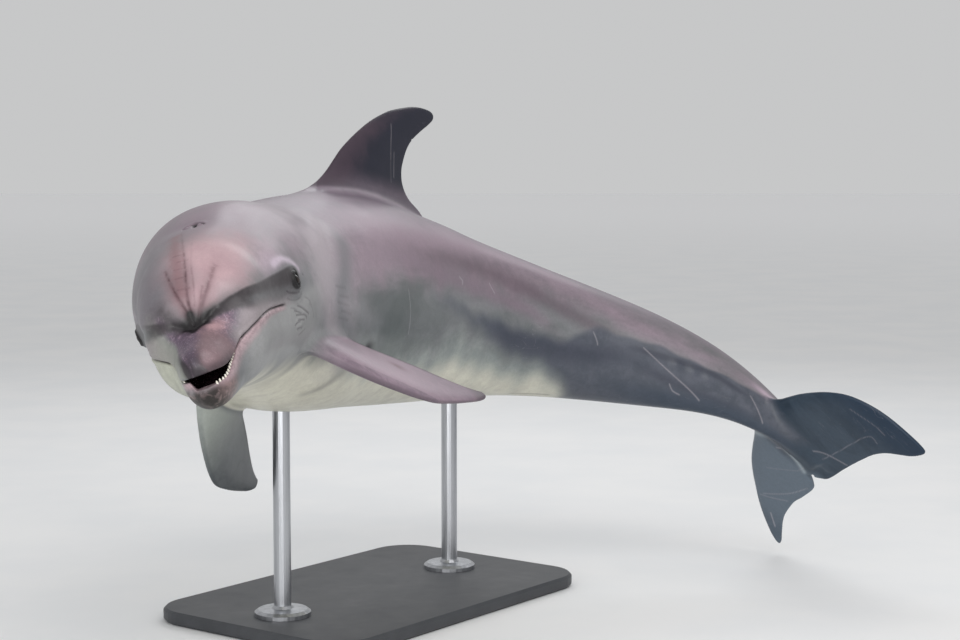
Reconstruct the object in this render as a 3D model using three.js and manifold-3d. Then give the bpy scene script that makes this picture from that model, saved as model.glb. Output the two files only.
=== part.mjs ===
// Bottlenose dolphin, life size, as a still museum model on a display stand.
//
// The body is drawn straight first: U runs from 0 at the tip of the upper jaw to
// 1 at the notch between the flukes, y is to the animal's left and z is up, both in
// millimetres from the body axis. Profile tables give the back line, belly line and
// half width at each U. The straight animal is then bent along a spine whose heading,
// pitch and roll are given at a few stations, which gives the swimming turn.
// Frame: origin under the middle of the stand's base, on the floor, +Z up, mm.
import * as THREE from 'three';
import { mergeVertices } from 'three/addons/utils/BufferGeometryUtils.js';
import Module from 'manifold-3d';

const wasm = await Module();
wasm.setup();

// ---------------------------------------------------------------- driving sizes
const BODY_LENGTH = 2500;          // snout tip to fluke notch, along the body
const GAP = 0.3;                   // between neighbouring solids
const RING = 30;                   // points round the body
const FIN_RING = 14;               // points round a fin section

// profile tables, as fractions of the body length: [U, value]
const BACK = [[0, .0070], [.01, .0120], [.02, .0144], [.03, .0160], [.04, .0176], [.046, .0196], [.050, .0222], [.0535, .0300], [.058, .0395], [.064, .0475], [.07, .0528], [.08, .0592], [.09, .0637], [.1, .0670], [.12, .0708], [.14, .0725], [.155, .0738], [.17, .0752], [.19, .0770], [.21, .0787], [.235, .0803], [.26, .0827], [.29, .0879], [.32, .0925], [.36, .0972], [.4, .1001], [.44, .1002], [.48, .0986], [.52, .0943], [.56, .0890], [.6, .0817], [.65, .0737], [.7, .0659], [.75, .0584], [.8, .0509], [.85, .0420], [.88, .0360], [.91, .0296], [.94, .0225], [.97, .0140], [1.0, .0060]];
const BELLY = [[-.004, .0250], [0, .0300], [.01, .0336], [.02, .0352], [.03, .0362], [.04, .0368], [.05, .0374], [.06, .0384], [.07, .0397], [.08, .0416], [.09, .0438], [.1, .0462], [.12, .0512], [.14, .0562], [.155, .0603], [.17, .0646], [.19, .0694], [.21, .0730], [.235, .0765], [.26, .0798], [.29, .0848], [.32, .0886], [.36, .0917], [.4, .0928], [.44, .0926], [.48, .0912], [.52, .0877], [.56, .0824], [.6, .0751], [.65, .0668], [.7, .0603], [.75, .0547], [.8, .0485], [.85, .0407], [.88, .0350], [.91, .0285], [.94, .0215], [.97, .0135], [1.0, .0060]];
const HALF_WIDTH = [[-.004, .0070], [0, .0095], [.01, .0164], [.02, .0194], [.03, .0215], [.04, .0242], [.046, .0275], [.05, .0310], [.055, .0362], [.06, .0405], [.065, .0433], [.07, .0452], [.08, .0478], [.09, .0499], [.1, .0521], [.11, .0537], [.12, .0567], [.13, .0601], [.14, .0630], [.1456, .0643], [.155, .0660], [.17, .0681], [.19, .0711], [.21, .0743], [.235, .0767], [.26, .0791], [.29, .0829], [.32, .0856], [.36, .0876], [.4, .0874], [.44, .0862], [.48, .0830], [.52, .0781], [.56, .0720], [.6, .0646], [.65, .0562], [.7, .0486], [.75, .0417], [.8, .0341], [.85, .0256], [.88, .0210], [.91, .0169], [.94, .0140], [.97, .0129], [1.0, .0119]];
// fullness of the section above and below its widest level (2 is an ellipse)
const RIGHT_SLIM = [[.06, 0], [.10, .04], [.18, .04], [.26, 0]];   // the right of the head is a little slimmer than the left
const FULL_TOP = [[0, 2.2], [.05, 2.15], [.06, 2.08], [.1, 2.12], [.17, 2.12], [.25, 2.12], [.7, 2.05], [.85, 1.8], [.94, 1.65], [1, 1.9]];
const FULL_LOW = [[0, 2.3], [.05, 2.4], [.1, 2.3], [.17, 2.2], [.3, 2.2], [.7, 2.0], [.85, 1.75], [.94, 1.65], [1, 1.9]];
// line of the mouth on the side of the face, and how far the lower lip hangs below it
const MOUTH = [[-.02, -.0045], [0, -.0045], [.015, -.0058], [.0266, -.0060], [.036, -.0042], [.045, -.0014], [.052, .0012], [.058, .0032], [.07, .0046], [.088, .0031], [.11, -.0010], [.1265, -.0050], [.14, -.0100]];
const LIP_OPEN = [[-.02, .0085], [0, .0085], [.015, .0083], [.03, .0056], [.04, .0032], [.05, .0016], [.06, .0008], [.08, .0005], [.1265, .0001], [.14, .0001]];
const MOUTH_CORNER = .1265;        // U of the corner of the mouth
const JAW_END = .122;              // U where the lower jaw joins the head

// spine: stations and the body's turn there, in degrees, in the trunk's own frame
const STATION = [.0155, .1655, .2555, .3655, .5155, .6655, .8155, .9155, .9755, 1.0155];
const HEADING = [22.7, 22.7, 10.0, 0, -20.7, -48.3, -70.2, -70.9, -73.4, -76.0];
const PITCH = [-13.2, -13.2, 6.3, 0, 7.9, 13.4, 19.0, 36.6, 49.1, 52.4];
const ROLL = [18.0, 18.0, 3.5, 0, 4.5, 18.75, 30.4, 42.4, 45.4, 45.3];
const TRUNK_AT = .3655;            // the station whose place and direction are set
const TRUNK_TURN = [-111.51, 2.66, 4.00];              // heading, pitch, roll
const TRUNK_PLACE = [-160.88, -200.24, 702.57];         // of the axis at TRUNK_AT

// head
const EYE = { u: .1456, z: .0062, radius: 16, sink: 11.5 };
const TOOTH = { count: 12, first: .0035, pitch: .0037, radius: 2.6, height: 6, inset: 4.2 };

// dorsal fin, a flat fin standing in the median plane: [z, leading U, trailing U]
const DORSAL_AT = .4555;
const DORSAL = [[.078, .3800, .6050], [.0960, .3990, .5760], [.1010, .4050, .5660], [.107, .4112, .5560], [.1152, .4205, .5490], [.1246, .4313, .5456], [.1344, .4412, .5460], [.1444, .4514, .5498], [.1548, .4648, .5556], [.1645, .4790, .5645], [.1751, .4965, .5800], [.1837, .5143, .5945], [.19, .5305, .6020], [.195, .5485, .6010], [.1985, .5670, .5960]];
const DORSAL_THICK = [[.078, .0165], [.1, .0125], [.12, .0098], [.16, .0066], [.19, .0040], [.1985, .0018]];

// flukes: [distance from the midline, leading U, trailing U], left and right
const FLUKE_AT = .9705;
const FLUKE_MID = -.003;
const FLUKE_L = [[0, .905, 1.0035], [.004, .9085, 1.0120], [.010, .9135, 1.0195], [.0167, .9195, 1.0197], [.0277, .9268, 1.0202], [.0398, .9309, 1.0214], [.0518, .935, 1.0230], [.0646, .9411, 1.0252], [.0773, .9484, 1.0303], [.0899, .9583, 1.0405], [.0968, .966, 1.0462], [.1024, .9748, 1.0500], [.1070, .9844, 1.0512], [.1108, .9946, 1.0519], [.1142, 1.0080, 1.0522], [.1164, 1.0290, 1.0512]];
const FLUKE_R = [[0, .905, 1.0035], [.004, .9090, 1.0120], [.010, .9160, 1.0182], [.0183, .9262, 1.0187], [.0295, .9372, 1.0190], [.0446, .9464, 1.0190], [.0578, .9552, 1.0176], [.0692, .9656, 1.0197], [.0828, .9810, 1.0234], [.0922, .9922, 1.0282], [.1000, 1.0030, 1.0336], [.1069, 1.0142, 1.0386], [.1120, 1.0235, 1.0420], [.1155, 1.0310, 1.0440], [.1177, 1.0385, 1.0441]];
const FLUKE_THICK = [[0, .0105], [.02, .0092], [.05, .0066], [.09, .0038], [.1177, .0014]];

// flippers: [fraction of span, leading edge, trailing edge] and how each one is held
const FLIPPER_SPAN = .165;
const FLIPPER = [[-.14, .0233, -.0271], [0, .0253, -.0281], [.15, .0302, -.0290], [.3, .0322, -.0280], [.45, .0314, -.0298], [.6, .0266, -.0306], [.75, .0109, -.0299], [.87, -.0051, -.0305], [.95, -.0168, -.0330], [.985, -.0233, -.0345]];
const FLIPPER_THICK = [[-.14, .0085], [0, .0082], [.3, .0066], [.7, .0038], [.985, .0014]];
const FLIPPER_AT = .2505;
const HOLD_LEFT = { u: .2351, y: .0662, z: -.0415, span: 1.0165, chord: 1.0213, out: [-.5969, .6967, -.3979], normal: [.2441, .6301, .7370] };
const HOLD_RIGHT = { u: .2609, y: .0341, z: -.0573, span: 1.0200, chord: 1.0982, out: [-.7301, .1629, -.6637], normal: [-.0778, .9450, .3176] };

// display stand
const BASE = { length: 900, width: 580, height: 30, corner: 90, edge: 6, turn: 53 };
const ROD = { radius: 19, foot: 62, footHeight: 14, at: [.345, .600] };

// ---------------------------------------------------------------- tools
const L = BODY_LENGTH, rad = Math.PI / 180;

// monotone cubic through a table of [x, y]
function curve(table) {
  const n = table.length, x = table.map(p => p[0]), y = table.map(p => p[1]);
  const h = [], d = [], m = new Array(n).fill(0);
  for (let i = 0; i < n - 1; i++) { h.push(x[i + 1] - x[i]); d.push((y[i + 1] - y[i]) / h[i]); }
  for (let i = 1; i < n - 1; i++) {
    if (d[i - 1] * d[i] > 0) {
      const w1 = 2 * h[i] + h[i - 1], w2 = h[i] + 2 * h[i - 1];
      m[i] = (w1 + w2) / (w1 / d[i - 1] + w2 / d[i]);
    }
  }
  const end = (h0, h1, d0, d1) => {
    let v = ((2 * h0 + h1) * d0 - h0 * d1) / (h0 + h1);
    if (Math.sign(v) !== Math.sign(d0)) v = 0;
    else if (Math.sign(d0) !== Math.sign(d1) && Math.abs(v) > 3 * Math.abs(d0)) v = 3 * d0;
    return v;
  };
  m[0] = end(h[0], h[1], d[0], d[1]);
  m[n - 1] = end(h[n - 2], h[n - 3], d[n - 2], d[n - 3]);
  return q => {
    q = Math.min(Math.max(q, x[0]), x[n - 1]);
    let i = 0;
    while (i < n - 2 && q >= x[i + 1]) i++;
    const t = (q - x[i]) / h[i], t2 = t * t, t3 = t2 * t;
    return (2 * t3 - 3 * t2 + 1) * y[i] + (t3 - 2 * t2 + t) * h[i] * m[i] + (3 * t2 - 2 * t3) * y[i + 1] + (t3 - t2) * h[i] * m[i + 1];
  };
}
const column = (table, k) => curve(table.map(r => [r[0], r[k]]));

const back = curve(BACK), belly = curve(BELLY), halfWidth = curve(HALF_WIDTH);
const fullTop = curve(FULL_TOP), fullLow = curve(FULL_LOW), rightSlim = curve(RIGHT_SLIM);
const mouth = curve(MOUTH), lipOpen = curve(LIP_OPEN);

// turn by heading (about up), pitch (nose up) and roll (left side up)
function turned(heading, pitch, roll) {
  const e = new THREE.Matrix4().makeRotationZ(heading * rad);
  e.multiply(new THREE.Matrix4().makeRotationY(-pitch * rad));
  e.multiply(new THREE.Matrix4().makeRotationX(roll * rad));
  return e;
}

// the spine: place and axes (forward, left, up) at many stations
const SPINE = (() => {
  const n = 221, from = -.01, to = 1.06, step = (to - from) / (n - 1);
  const hd = curve(STATION.map((s, i) => [s, HEADING[i]]));
  const pt = curve(STATION.map((s, i) => [s, PITCH[i]]));
  const rl = curve(STATION.map((s, i) => [s, ROLL[i]]));
  const trunk = turned(...TRUNK_TURN), axes = [], place = [];
  for (let i = 0; i < n; i++) {
    const u = from + step * i, m = turned(hd(u), pt(u), rl(u)).premultiply(trunk);
    const f = new THREE.Vector3(), l = new THREE.Vector3(), z = new THREE.Vector3();
    m.extractBasis(f, l, z);
    axes.push([f, l, z]);
    if (i === 0) place.push(new THREE.Vector3());
    else {
      const mid = axes[i - 1][0].clone().add(f).normalize();
      place.push(place[i - 1].clone().addScaledVector(mid, -step * L));
    }
  }
  const k = (TRUNK_AT - from) / step, i = Math.floor(k);
  const ref = place[i].clone().lerp(place[i + 1], k - i).sub(new THREE.Vector3(...TRUNK_PLACE));
  for (const p of place) p.sub(ref);
  return { n, from, step, axes, place };
})();

function spineAt(u) {
  const k = (u - SPINE.from) / SPINE.step, i = Math.min(Math.max(Math.floor(k), 0), SPINE.n - 2), t = k - i;
  const mix = j => SPINE.axes[i][j].clone().lerp(SPINE.axes[i + 1][j], t);
  return { p: SPINE.place[i].clone().lerp(SPINE.place[i + 1], t), f: mix(0), l: mix(1), z: mix(2) };
}
// straight animal (U, left, up) to the bent one
function bend(u, y, z) {
  const s = spineAt(u);
  return s.p.addScaledVector(s.l, y).addScaledVector(s.z, z);
}
// square axes at a station, for fins that stay flat
function squareFrame(u) {
  const s = spineAt(u), f = s.f.normalize();
  const l = s.l.addScaledVector(f, -f.dot(s.l)).normalize();
  return { p: s.p, f, l, z: new THREE.Vector3().crossVectors(f, l) };
}

// body section at U: angle 0 is left, 90 is up
function section(u, a, grow = 0) {
  const c = Math.cos(a), s = Math.sin(a), n = s >= 0 ? fullTop(u) : fullLow(u);
  const t = back(u) * L + grow, b = belly(u) * L + grow;
  const w = halfWidth(u) * L * (c < 0 ? 1 - rightSlim(u) : 1) + grow;
  const mid = (t - b) / 2, h = (t + b) / 2;
  return [w * Math.sign(c) * Math.abs(c) ** (2 / n), mid + h * Math.sign(s) * Math.abs(s) ** (2 / n)];
}

// closed solid through rings of equal count, ends closed by fans
function loft(rings, capStart, capEnd) {
  const m = rings[0].length, pos = [], idx = [];
  for (const r of rings) for (const p of r) pos.push(p.x, p.y, p.z);
  for (let i = 0; i < rings.length - 1; i++)
    for (let j = 0; j < m; j++) {
      const a = i * m + j, b = i * m + (j + 1) % m, c = a + m, d = b + m;
      idx.push(a, b, d, a, d, c);
    }
  const middle = r => r.reduce((s, p) => s.add(p), new THREE.Vector3()).divideScalar(m);
  const cap = (ring, centre, base, flip) => {
    const k = pos.length / 3; pos.push(centre.x, centre.y, centre.z);
    for (let j = 0; j < m; j++) {
      const a = base + j, b = base + (j + 1) % m;
      if (flip) idx.push(k, b, a); else idx.push(k, a, b);
    }
  };
  cap(rings[0], capStart || middle(rings[0]), 0, true);
  cap(rings.at(-1), capEnd || middle(rings.at(-1)), (rings.length - 1) * m, false);
  const g = new THREE.BufferGeometry();
  g.setAttribute('position', new THREE.Float32BufferAttribute(pos, 3));
  g.setIndex(idx);
  return facingOut(g);
}
function facingOut(g) {
  const p = g.attributes.position, i = g.index.array, a = new THREE.Vector3(), b = new THREE.Vector3(), c = new THREE.Vector3();
  let v = 0;
  for (let k = 0; k < i.length; k += 3) {
    a.fromBufferAttribute(p, i[k]); b.fromBufferAttribute(p, i[k + 1]); c.fromBufferAttribute(p, i[k + 2]);
    v += a.dot(b.cross(c));
  }
  if (v < 0) {
    const r = Array.from(i);
    for (let k = 0; k < r.length; k += 3) [r[k + 1], r[k + 2]] = [r[k + 2], r[k + 1]];
    g.setIndex(r);
  }
  return g;
}
function solid(g) {
  g = g.clone();
  for (const n of ['normal', 'uv']) if (g.attributes[n]) g.deleteAttribute(n);
  g = mergeVertices(g, 1e-4);
  return new wasm.Manifold(new wasm.Mesh({ numProp: 3, vertProperties: new Float32Array(g.attributes.position.array), triVerts: new Uint32Array(g.index.array) }));
}
function geometry(m, largestOnly = true) {
  if (largestOnly) { const parts = m.decompose(); parts.sort((a, b) => b.volume() - a.volume()); m = parts[0]; }
  const k = m.getMesh(), g = new THREE.BufferGeometry();
  g.setAttribute('position', new THREE.BufferAttribute(new Float32Array(k.vertProperties), 3));
  g.setIndex(new THREE.BufferAttribute(new Uint32Array(k.triVerts), 1));
  return g;
}
const lin = (a, b, n) => Array.from({ length: n + 1 }, (_, i) => a + (b - a) * i / n);

// ---------------------------------------------------------------- body lengths
const ringAt = (u, grow = 0, m = RING) => Array.from({ length: m }, (_, j) => bend(u, ...section(u, 2 * Math.PI * (j + .5) / m, grow)));
const half = GAP / 2 / L;
const HEAD_END = .170, NECK_END = .232, CHEST_END = .40, WAIST_END = .56, LOIN_END = .70, STOCK_END = .985;
const CUTS = {
  neck: lin(HEAD_END, NECK_END, 5), chest: lin(NECK_END, CHEST_END, 9), waist: lin(CHEST_END, WAIST_END, 9),
  loin: lin(WAIST_END, LOIN_END, 8), stock: [...lin(LOIN_END, .94, 10), ...lin(.94, STOCK_END, 4).slice(1)],
};
// one length of the body, parted from its neighbours by the gap
function length(us) {
  const k = [...us]; k[0] += half; k[k.length - 1] -= half;
  return loft(k.map(u => ringAt(u)));
}
// the whole body grown by the gap, which the fins and rods are cut to
const bodyStations = [.150, ...new Set(Object.values(CUTS).flat())];
const wholeGrown = solid(loft(bodyStations.map((u, i) => ringAt(i === bodyStations.length - 1 ? u + GAP / L : u, GAP * 1.5))));

// ---------------------------------------------------------------- head and jaws
// made straight, parted by the mouth surface, then bent
function straightLoft(us, m, grow = 0) {
  return loft(us.map(u => Array.from({ length: m }, (_, j) => {
    const [y, z] = section(u, 2 * Math.PI * (j + .5) / m, grow);
    return new THREE.Vector3(-u * L, y, z);
  })));
}
// everything below (or above) a surface z(U), between two stations
function slab(zOf, from, to, n, floor) {
  const wide = .12 * L;
  return loft(lin(from, to, n).map(u => {
    const z = zOf(u) * L, f = floor * L;
    return [new THREE.Vector3(-u * L, -wide, z), new THREE.Vector3(-u * L, 0, z), new THREE.Vector3(-u * L, wide, z), new THREE.Vector3(-u * L, wide, f), new THREE.Vector3(-u * L, -wide, f)];
  }));
}
function bent(g) {
  const p = g.attributes.position;
  for (let i = 0; i < p.count; i++) {
    const q = bend(-p.getX(i) / L, p.getY(i), p.getZ(i));
    p.setXYZ(i, q.x, q.y, q.z);
  }
  return g;
}
const eyeCentre = side => {
  const w = Math.abs(section(EYE.u, side > 0 ? 0 : Math.PI)[0]);
  return new THREE.Vector3(-EYE.u * L, side * (w - EYE.sink + 4), EYE.z * L);
};
function ball(centre, r, seg = 14, rows = 8) {
  const g = new THREE.SphereGeometry(r, seg, rows);
  g.rotateX(Math.PI / 2);
  return g.translate(centre.x, centre.y, centre.z);
}
const cleanBall = (c, r, s, w) => { const g = ball(c, r, s, w); g.deleteAttribute('normal'); g.deleteAttribute('uv'); return mergeVertices(g, 1e-3); };

const ROSTRUM_END = .049;
const headLoft = solid(straightLoft([...lin(ROSTRUM_END + half, .064, 5), ...lin(.07, .12, 5), ...lin(.13, HEAD_END - half, 4)], RING));
const jawCutter = solid(slab(u => mouth(u), .02, JAW_END, 11, -.12));
let headStraight = headLoft.subtract(jawCutter);
for (const s of [1, -1]) headStraight = headStraight.subtract(solid(cleanBall(eyeCentre(s), EYE.radius + GAP)));
const headGeometry = bent(geometry(headStraight));

const snoutRings = [0.0004, .003, .007, .013, .02, .03, .04, ROSTRUM_END - half];
const upperGeometry = bent(geometry(solid(straightLoft(snoutRings, 26)).subtract(solid(slab(u => mouth(u), -.02, .07, 12, -.12)))));

const lowerTop = u => mouth(u) - lipOpen(u) - GAP / L;
const jawRings = [-.0038, -.001, .004, .010, .018, .028, .038, .05, .062, .075, .09, .106, JAW_END - GAP / L];
let jawSolid = solid(straightLoft(jawRings, 24)).intersect(solid(slab(lowerTop, -.02, .14, 16, -.12)));
// hollow of the mouth floor, so that the teeth stand on a rim
const troughRings = lin(.004, .060, 6).map(u => {
  const w = Math.max(2, (halfWidth(u) * L - 2.3 * TOOTH.inset)) * Math.min(1, .35 + (u - .002) / .012), z = lowerTop(u) * L, d = 11 * Math.min(1, .25 + (.066 - u) / .02);
  return Array.from({ length: 10 }, (_, j) => { const a = 2 * Math.PI * (j + .5) / 10; return new THREE.Vector3(-u * L, w * Math.cos(a), z + d * Math.sin(a)); });
});
jawSolid = jawSolid.subtract(solid(loft(troughRings)));
for (const s of [1, -1]) for (let k = 0; k < TOOTH.count; k++) {
  const u = TOOTH.first + TOOTH.pitch * k, w = halfWidth(u) * L * .97 - TOOTH.inset, z0 = lowerTop(u) * L;
  const tall = Math.min(TOOTH.height, .55 * lipOpen(u) * L);       // no taller than the parted lips allow
  const rings = [[-8, 1], [tall * .5, .85], [tall, .3]].map(([h, r]) =>
    Array.from({ length: 5 }, (_, j) => { const a = j * Math.PI * .4; return new THREE.Vector3(-u * L + r * TOOTH.radius * Math.cos(a), s * w + r * TOOTH.radius * Math.sin(a), z0 + h); }));
  jawSolid = jawSolid.add(solid(loft(rings)));
}
const lowerGeometry = bent(geometry(jawSolid));

// ---------------------------------------------------------------- fins
// a rounded fin section, 0 at the leading edge and 1 at the trailing edge
function finShape(x) {
  const q = 5 * (.2969 * Math.sqrt(x) - .126 * x - .3516 * x * x + .2843 * x ** 3 - .1015 * x ** 4);
  return q / .5;
}
function finRing(lead, trail, thick, put) {
  return Array.from({ length: FIN_RING }, (_, j) => {
    const a = 2 * Math.PI * j / FIN_RING, x = (1 + Math.cos(a)) / 2;
    const t = (finShape(x) * thick * L + .6 * (x > .02 && x < .999 ? 1 : 0)) * Math.sign(Math.sin(a)) * (Math.abs(Math.sin(a)) > 1e-9 ? 1 : 0);
    return put(lead + (trail - lead) * x, t);
  });
}
const dorsalFrame = squareFrame(DORSAL_AT), dLead = column(DORSAL, 1), dTrail = column(DORSAL, 2), dThick = curve(DORSAL_THICK);
const dorsalLoft = loft([...DORSAL.map(r => r[0])].map(z => finRing(dLead(z), dTrail(z), dThick(z), (u, t) =>
  dorsalFrame.p.clone().addScaledVector(dorsalFrame.f, (DORSAL_AT - u) * L).addScaledVector(dorsalFrame.l, t).addScaledVector(dorsalFrame.z, z * L))));

const flukeFrame = squareFrame(FLUKE_AT), fThick = curve(FLUKE_THICK);
function fluke(table, side) {
  const lead = column(table, 1), trail = column(table, 2), s0 = GAP / 2 / L;
  const spans = [s0, ...table.slice(1).map(r => r[0])];
  return loft(spans.map(s => finRing(lead(s), trail(s), fThick(s), (u, t) => {
    const shear = -.015 * Math.min(1, Math.max(0, (u - .93) / .07)) * Math.exp(-((s / .03) ** 2));
    const y = FLUKE_MID + shear + side * s;
    return flukeFrame.p.clone().addScaledVector(flukeFrame.f, (FLUKE_AT - u) * L).addScaledVector(flukeFrame.l, y * L).addScaledVector(flukeFrame.z, t);
  })));
}
const flipperFrame = squareFrame(FLIPPER_AT), pLead = column(FLIPPER, 1), pTrail = column(FLIPPER, 2), pThick = curve(FLIPPER_THICK);
function flipper(hold, side) {
  const v = (a) => flipperFrame.f.clone().multiplyScalar(a[0]).addScaledVector(flipperFrame.l, side * a[1]).addScaledVector(flipperFrame.z, a[2]).normalize();
  const out = v(hold.out), nrm = v(hold.normal);
  nrm.addScaledVector(out, -out.dot(nrm)).normalize();
  const chord = new THREE.Vector3().crossVectors(out, nrm).normalize().multiplyScalar(side);
  const root = flipperFrame.p.clone().addScaledVector(flipperFrame.f, (FLIPPER_AT - hold.u) * L).addScaledVector(flipperFrame.l, side * hold.y * L).addScaledVector(flipperFrame.z, hold.z * L);
  return loft(FLIPPER.map(r => r[0]).map(s => finRing(pLead(s), pTrail(s), pThick(s), (c, t) =>
    root.clone().addScaledVector(out, s * FLIPPER_SPAN * L * hold.span).addScaledVector(chord, c * L * hold.chord).addScaledVector(nrm, t))));
}
const cutFromBody = g => geometry(solid(g).subtract(wholeGrown));

// ---------------------------------------------------------------- stand
function basePlate() {
  const a = BASE.length / 2 - BASE.edge, b = BASE.width / 2 - BASE.edge, r = BASE.corner;
  const s = new THREE.Shape();
  s.moveTo(-a + r, -b); s.lineTo(a - r, -b); s.absarc(a - r, -b + r, r, -Math.PI / 2, 0);
  s.lineTo(a, b - r); s.absarc(a - r, b - r, r, 0, Math.PI / 2);
  s.lineTo(-a + r, b); s.absarc(-a + r, b - r, r, Math.PI / 2, Math.PI);
  s.lineTo(-a, -b + r); s.absarc(-a + r, -b + r, r, Math.PI, 1.5 * Math.PI);
  const g = new THREE.ExtrudeGeometry(s, { depth: BASE.height - 2 * BASE.edge, bevelEnabled: true, bevelThickness: BASE.edge, bevelSize: BASE.edge, bevelSegments: 1, curveSegments: 5 });
  g.translate(0, 0, BASE.edge);
  g.rotateZ(BASE.turn * rad);
  return g;
}
function rod(u) {
  // lowest point of the belly at this station, and a rod from the base up into it
  let low = null;
  for (let j = 0; j < 240; j++) { const p = bend(u, ...section(u, 2 * Math.PI * j / 240)); if (!low || p.z < low.z) low = p; }
  const z0 = BASE.height + GAP, r = ROD.radius, f = ROD.foot, h = ROD.footHeight;
  const pts = [[0, 0], [f, 0], [f, h * .6], [f - 8, h], [r + 5, h + 2], [r, h + 8], [r, low.z - z0 + 60], [0, low.z - z0 + 60]];
  const g = new THREE.LatheGeometry(pts.map(p => new THREE.Vector2(...p)), 24);
  g.rotateX(Math.PI / 2);
  g.deleteAttribute('normal'); g.deleteAttribute('uv');
  const m = facingOut(mergeVertices(g.translate(low.x, low.y, z0), 1e-3));
  return geometry(solid(m).subtract(wholeGrown), false);
}

// ---------------------------------------------------------------- the model
const skinGrey = { roughness: .42, metalness: 0 };
const paint = {
  back: { color: 0x8d7a80, ...skinGrey }, side: { color: 0x8f8688, ...skinGrey }, head: { color: 0x9d878a, ...skinGrey },
  fin: { color: 0x5e555b, ...skinGrey }, jaw: { color: 0xa79a98, ...skinGrey }, eye: { color: 0x15100f, roughness: .08, metalness: 0 },
  metal: { color: 0x9a9ca0, roughness: .35, metalness: 1 }, base: { color: 0x2c2d2f, roughness: .5, metalness: 0 },
};
const model = new THREE.Group();
function put(name, g, look) {
  const mesh = new THREE.Mesh(g, new THREE.MeshStandardMaterial(paint[look]));
  mesh.name = name;
  model.add(mesh);
}
put('head', headGeometry, 'head');
put('upper_jaw', upperGeometry, 'head');
put('lower_jaw', lowerGeometry, 'jaw');
for (const [name, s] of [['eye_left', 1], ['eye_right', -1]]) put(name, bent(cleanBall(eyeCentre(s), EYE.radius)), 'eye');
put('neck', length(CUTS.neck), 'side');
put('trunk_front', length(CUTS.chest), 'side');
put('trunk_middle', length(CUTS.waist), 'side');
put('trunk_rear', length(CUTS.loin), 'side');
put('tail_stock', length(CUTS.stock), 'back');
put('dorsal_fin', cutFromBody(dorsalLoft), 'fin');
put('flipper_left', cutFromBody(flipper(HOLD_LEFT, 1)), 'fin');
put('flipper_right', cutFromBody(flipper(HOLD_RIGHT, -1)), 'fin');
put('fluke_left', cutFromBody(fluke(FLUKE_L, 1)), 'fin');
put('fluke_right', cutFromBody(fluke(FLUKE_R, -1)), 'fin');
put('stand_base', basePlate(), 'base');
put('stand_rod_front', rod(ROD.at[0]), 'metal');
put('stand_rod_rear', rod(ROD.at[1]), 'metal');

export default model;
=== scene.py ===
import bpy, math
import numpy as np
import openvdb as vdb
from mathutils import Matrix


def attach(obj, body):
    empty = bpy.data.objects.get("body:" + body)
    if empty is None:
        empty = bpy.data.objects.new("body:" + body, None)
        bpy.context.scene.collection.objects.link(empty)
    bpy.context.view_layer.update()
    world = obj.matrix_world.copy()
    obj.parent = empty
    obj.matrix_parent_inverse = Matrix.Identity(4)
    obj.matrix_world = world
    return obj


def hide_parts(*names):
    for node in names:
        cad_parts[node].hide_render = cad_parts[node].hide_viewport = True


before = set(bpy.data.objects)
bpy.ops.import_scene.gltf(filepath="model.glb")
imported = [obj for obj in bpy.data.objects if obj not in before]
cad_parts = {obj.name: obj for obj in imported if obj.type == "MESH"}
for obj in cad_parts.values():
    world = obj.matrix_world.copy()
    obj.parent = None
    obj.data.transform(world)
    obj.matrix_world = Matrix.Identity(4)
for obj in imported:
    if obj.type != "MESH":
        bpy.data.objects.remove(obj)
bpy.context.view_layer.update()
np.random.seed(7)

# ------------------------------------------------------------------ the animal's proportions
# The animal is drawn straight, as in the solids: U runs from 0 at the snout to 1 at the notch
# of the flukes, y to its left, z up; then it is bent along the spine. Lengths in mm.
L = 2500.0
BACK = [(0, .0070), (.01, .0120), (.02, .0144), (.03, .0160), (.04, .0176), (.046, .0196), (.050, .0222), (.0535, .0300), (.058, .0395), (.064, .0475), (.07, .0528), (.08, .0592), (.09, .0637), (.1, .0670), (.12, .0708), (.14, .0725), (.155, .0738), (.17, .0752), (.19, .0770), (.21, .0787), (.235, .0803), (.26, .0827), (.29, .0879), (.32, .0925), (.36, .0972), (.4, .1001), (.44, .1002), (.48, .0986), (.52, .0943), (.56, .0890), (.6, .0817), (.65, .0737), (.7, .0659), (.75, .0584), (.8, .0509), (.85, .0420), (.88, .0360), (.91, .0296), (.94, .0225), (.97, .0140), (1.0, .0060), (1.03, .0040)]
BELLY = [(-.004, .0250), (0, .0300), (.01, .0336), (.02, .0352), (.03, .0362), (.04, .0368), (.05, .0374), (.06, .0384), (.07, .0397), (.08, .0416), (.09, .0438), (.1, .0462), (.12, .0512), (.14, .0562), (.155, .0603), (.17, .0646), (.19, .0694), (.21, .0730), (.235, .0765), (.26, .0798), (.29, .0848), (.32, .0886), (.36, .0917), (.4, .0928), (.44, .0926), (.48, .0912), (.52, .0877), (.56, .0824), (.6, .0751), (.65, .0668), (.7, .0603), (.75, .0547), (.8, .0485), (.85, .0407), (.88, .0350), (.91, .0285), (.94, .0215), (.97, .0135), (1.0, .0060), (1.03, .0040)]
HALF_WIDTH = [(-.004, .0070), (0, .0095), (.01, .0164), (.02, .0194), (.03, .0215), (.04, .0242), (.046, .0275), (.05, .0310), (.055, .0362), (.06, .0405), (.065, .0433), (.07, .0452), (.08, .0478), (.09, .0499), (.1, .0521), (.11, .0537), (.12, .0567), (.13, .0601), (.14, .0630), (.1456, .0643), (.155, .0660), (.17, .0681), (.19, .0711), (.21, .0743), (.235, .0767), (.26, .0791), (.29, .0829), (.32, .0856), (.36, .0876), (.4, .0874), (.44, .0862), (.48, .0830), (.52, .0781), (.56, .0720), (.6, .0646), (.65, .0562), (.7, .0486), (.75, .0417), (.8, .0341), (.85, .0256), (.88, .0210), (.91, .0169), (.94, .0140), (.97, .0129), (1.0, .0119), (1.03, .0060)]
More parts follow.
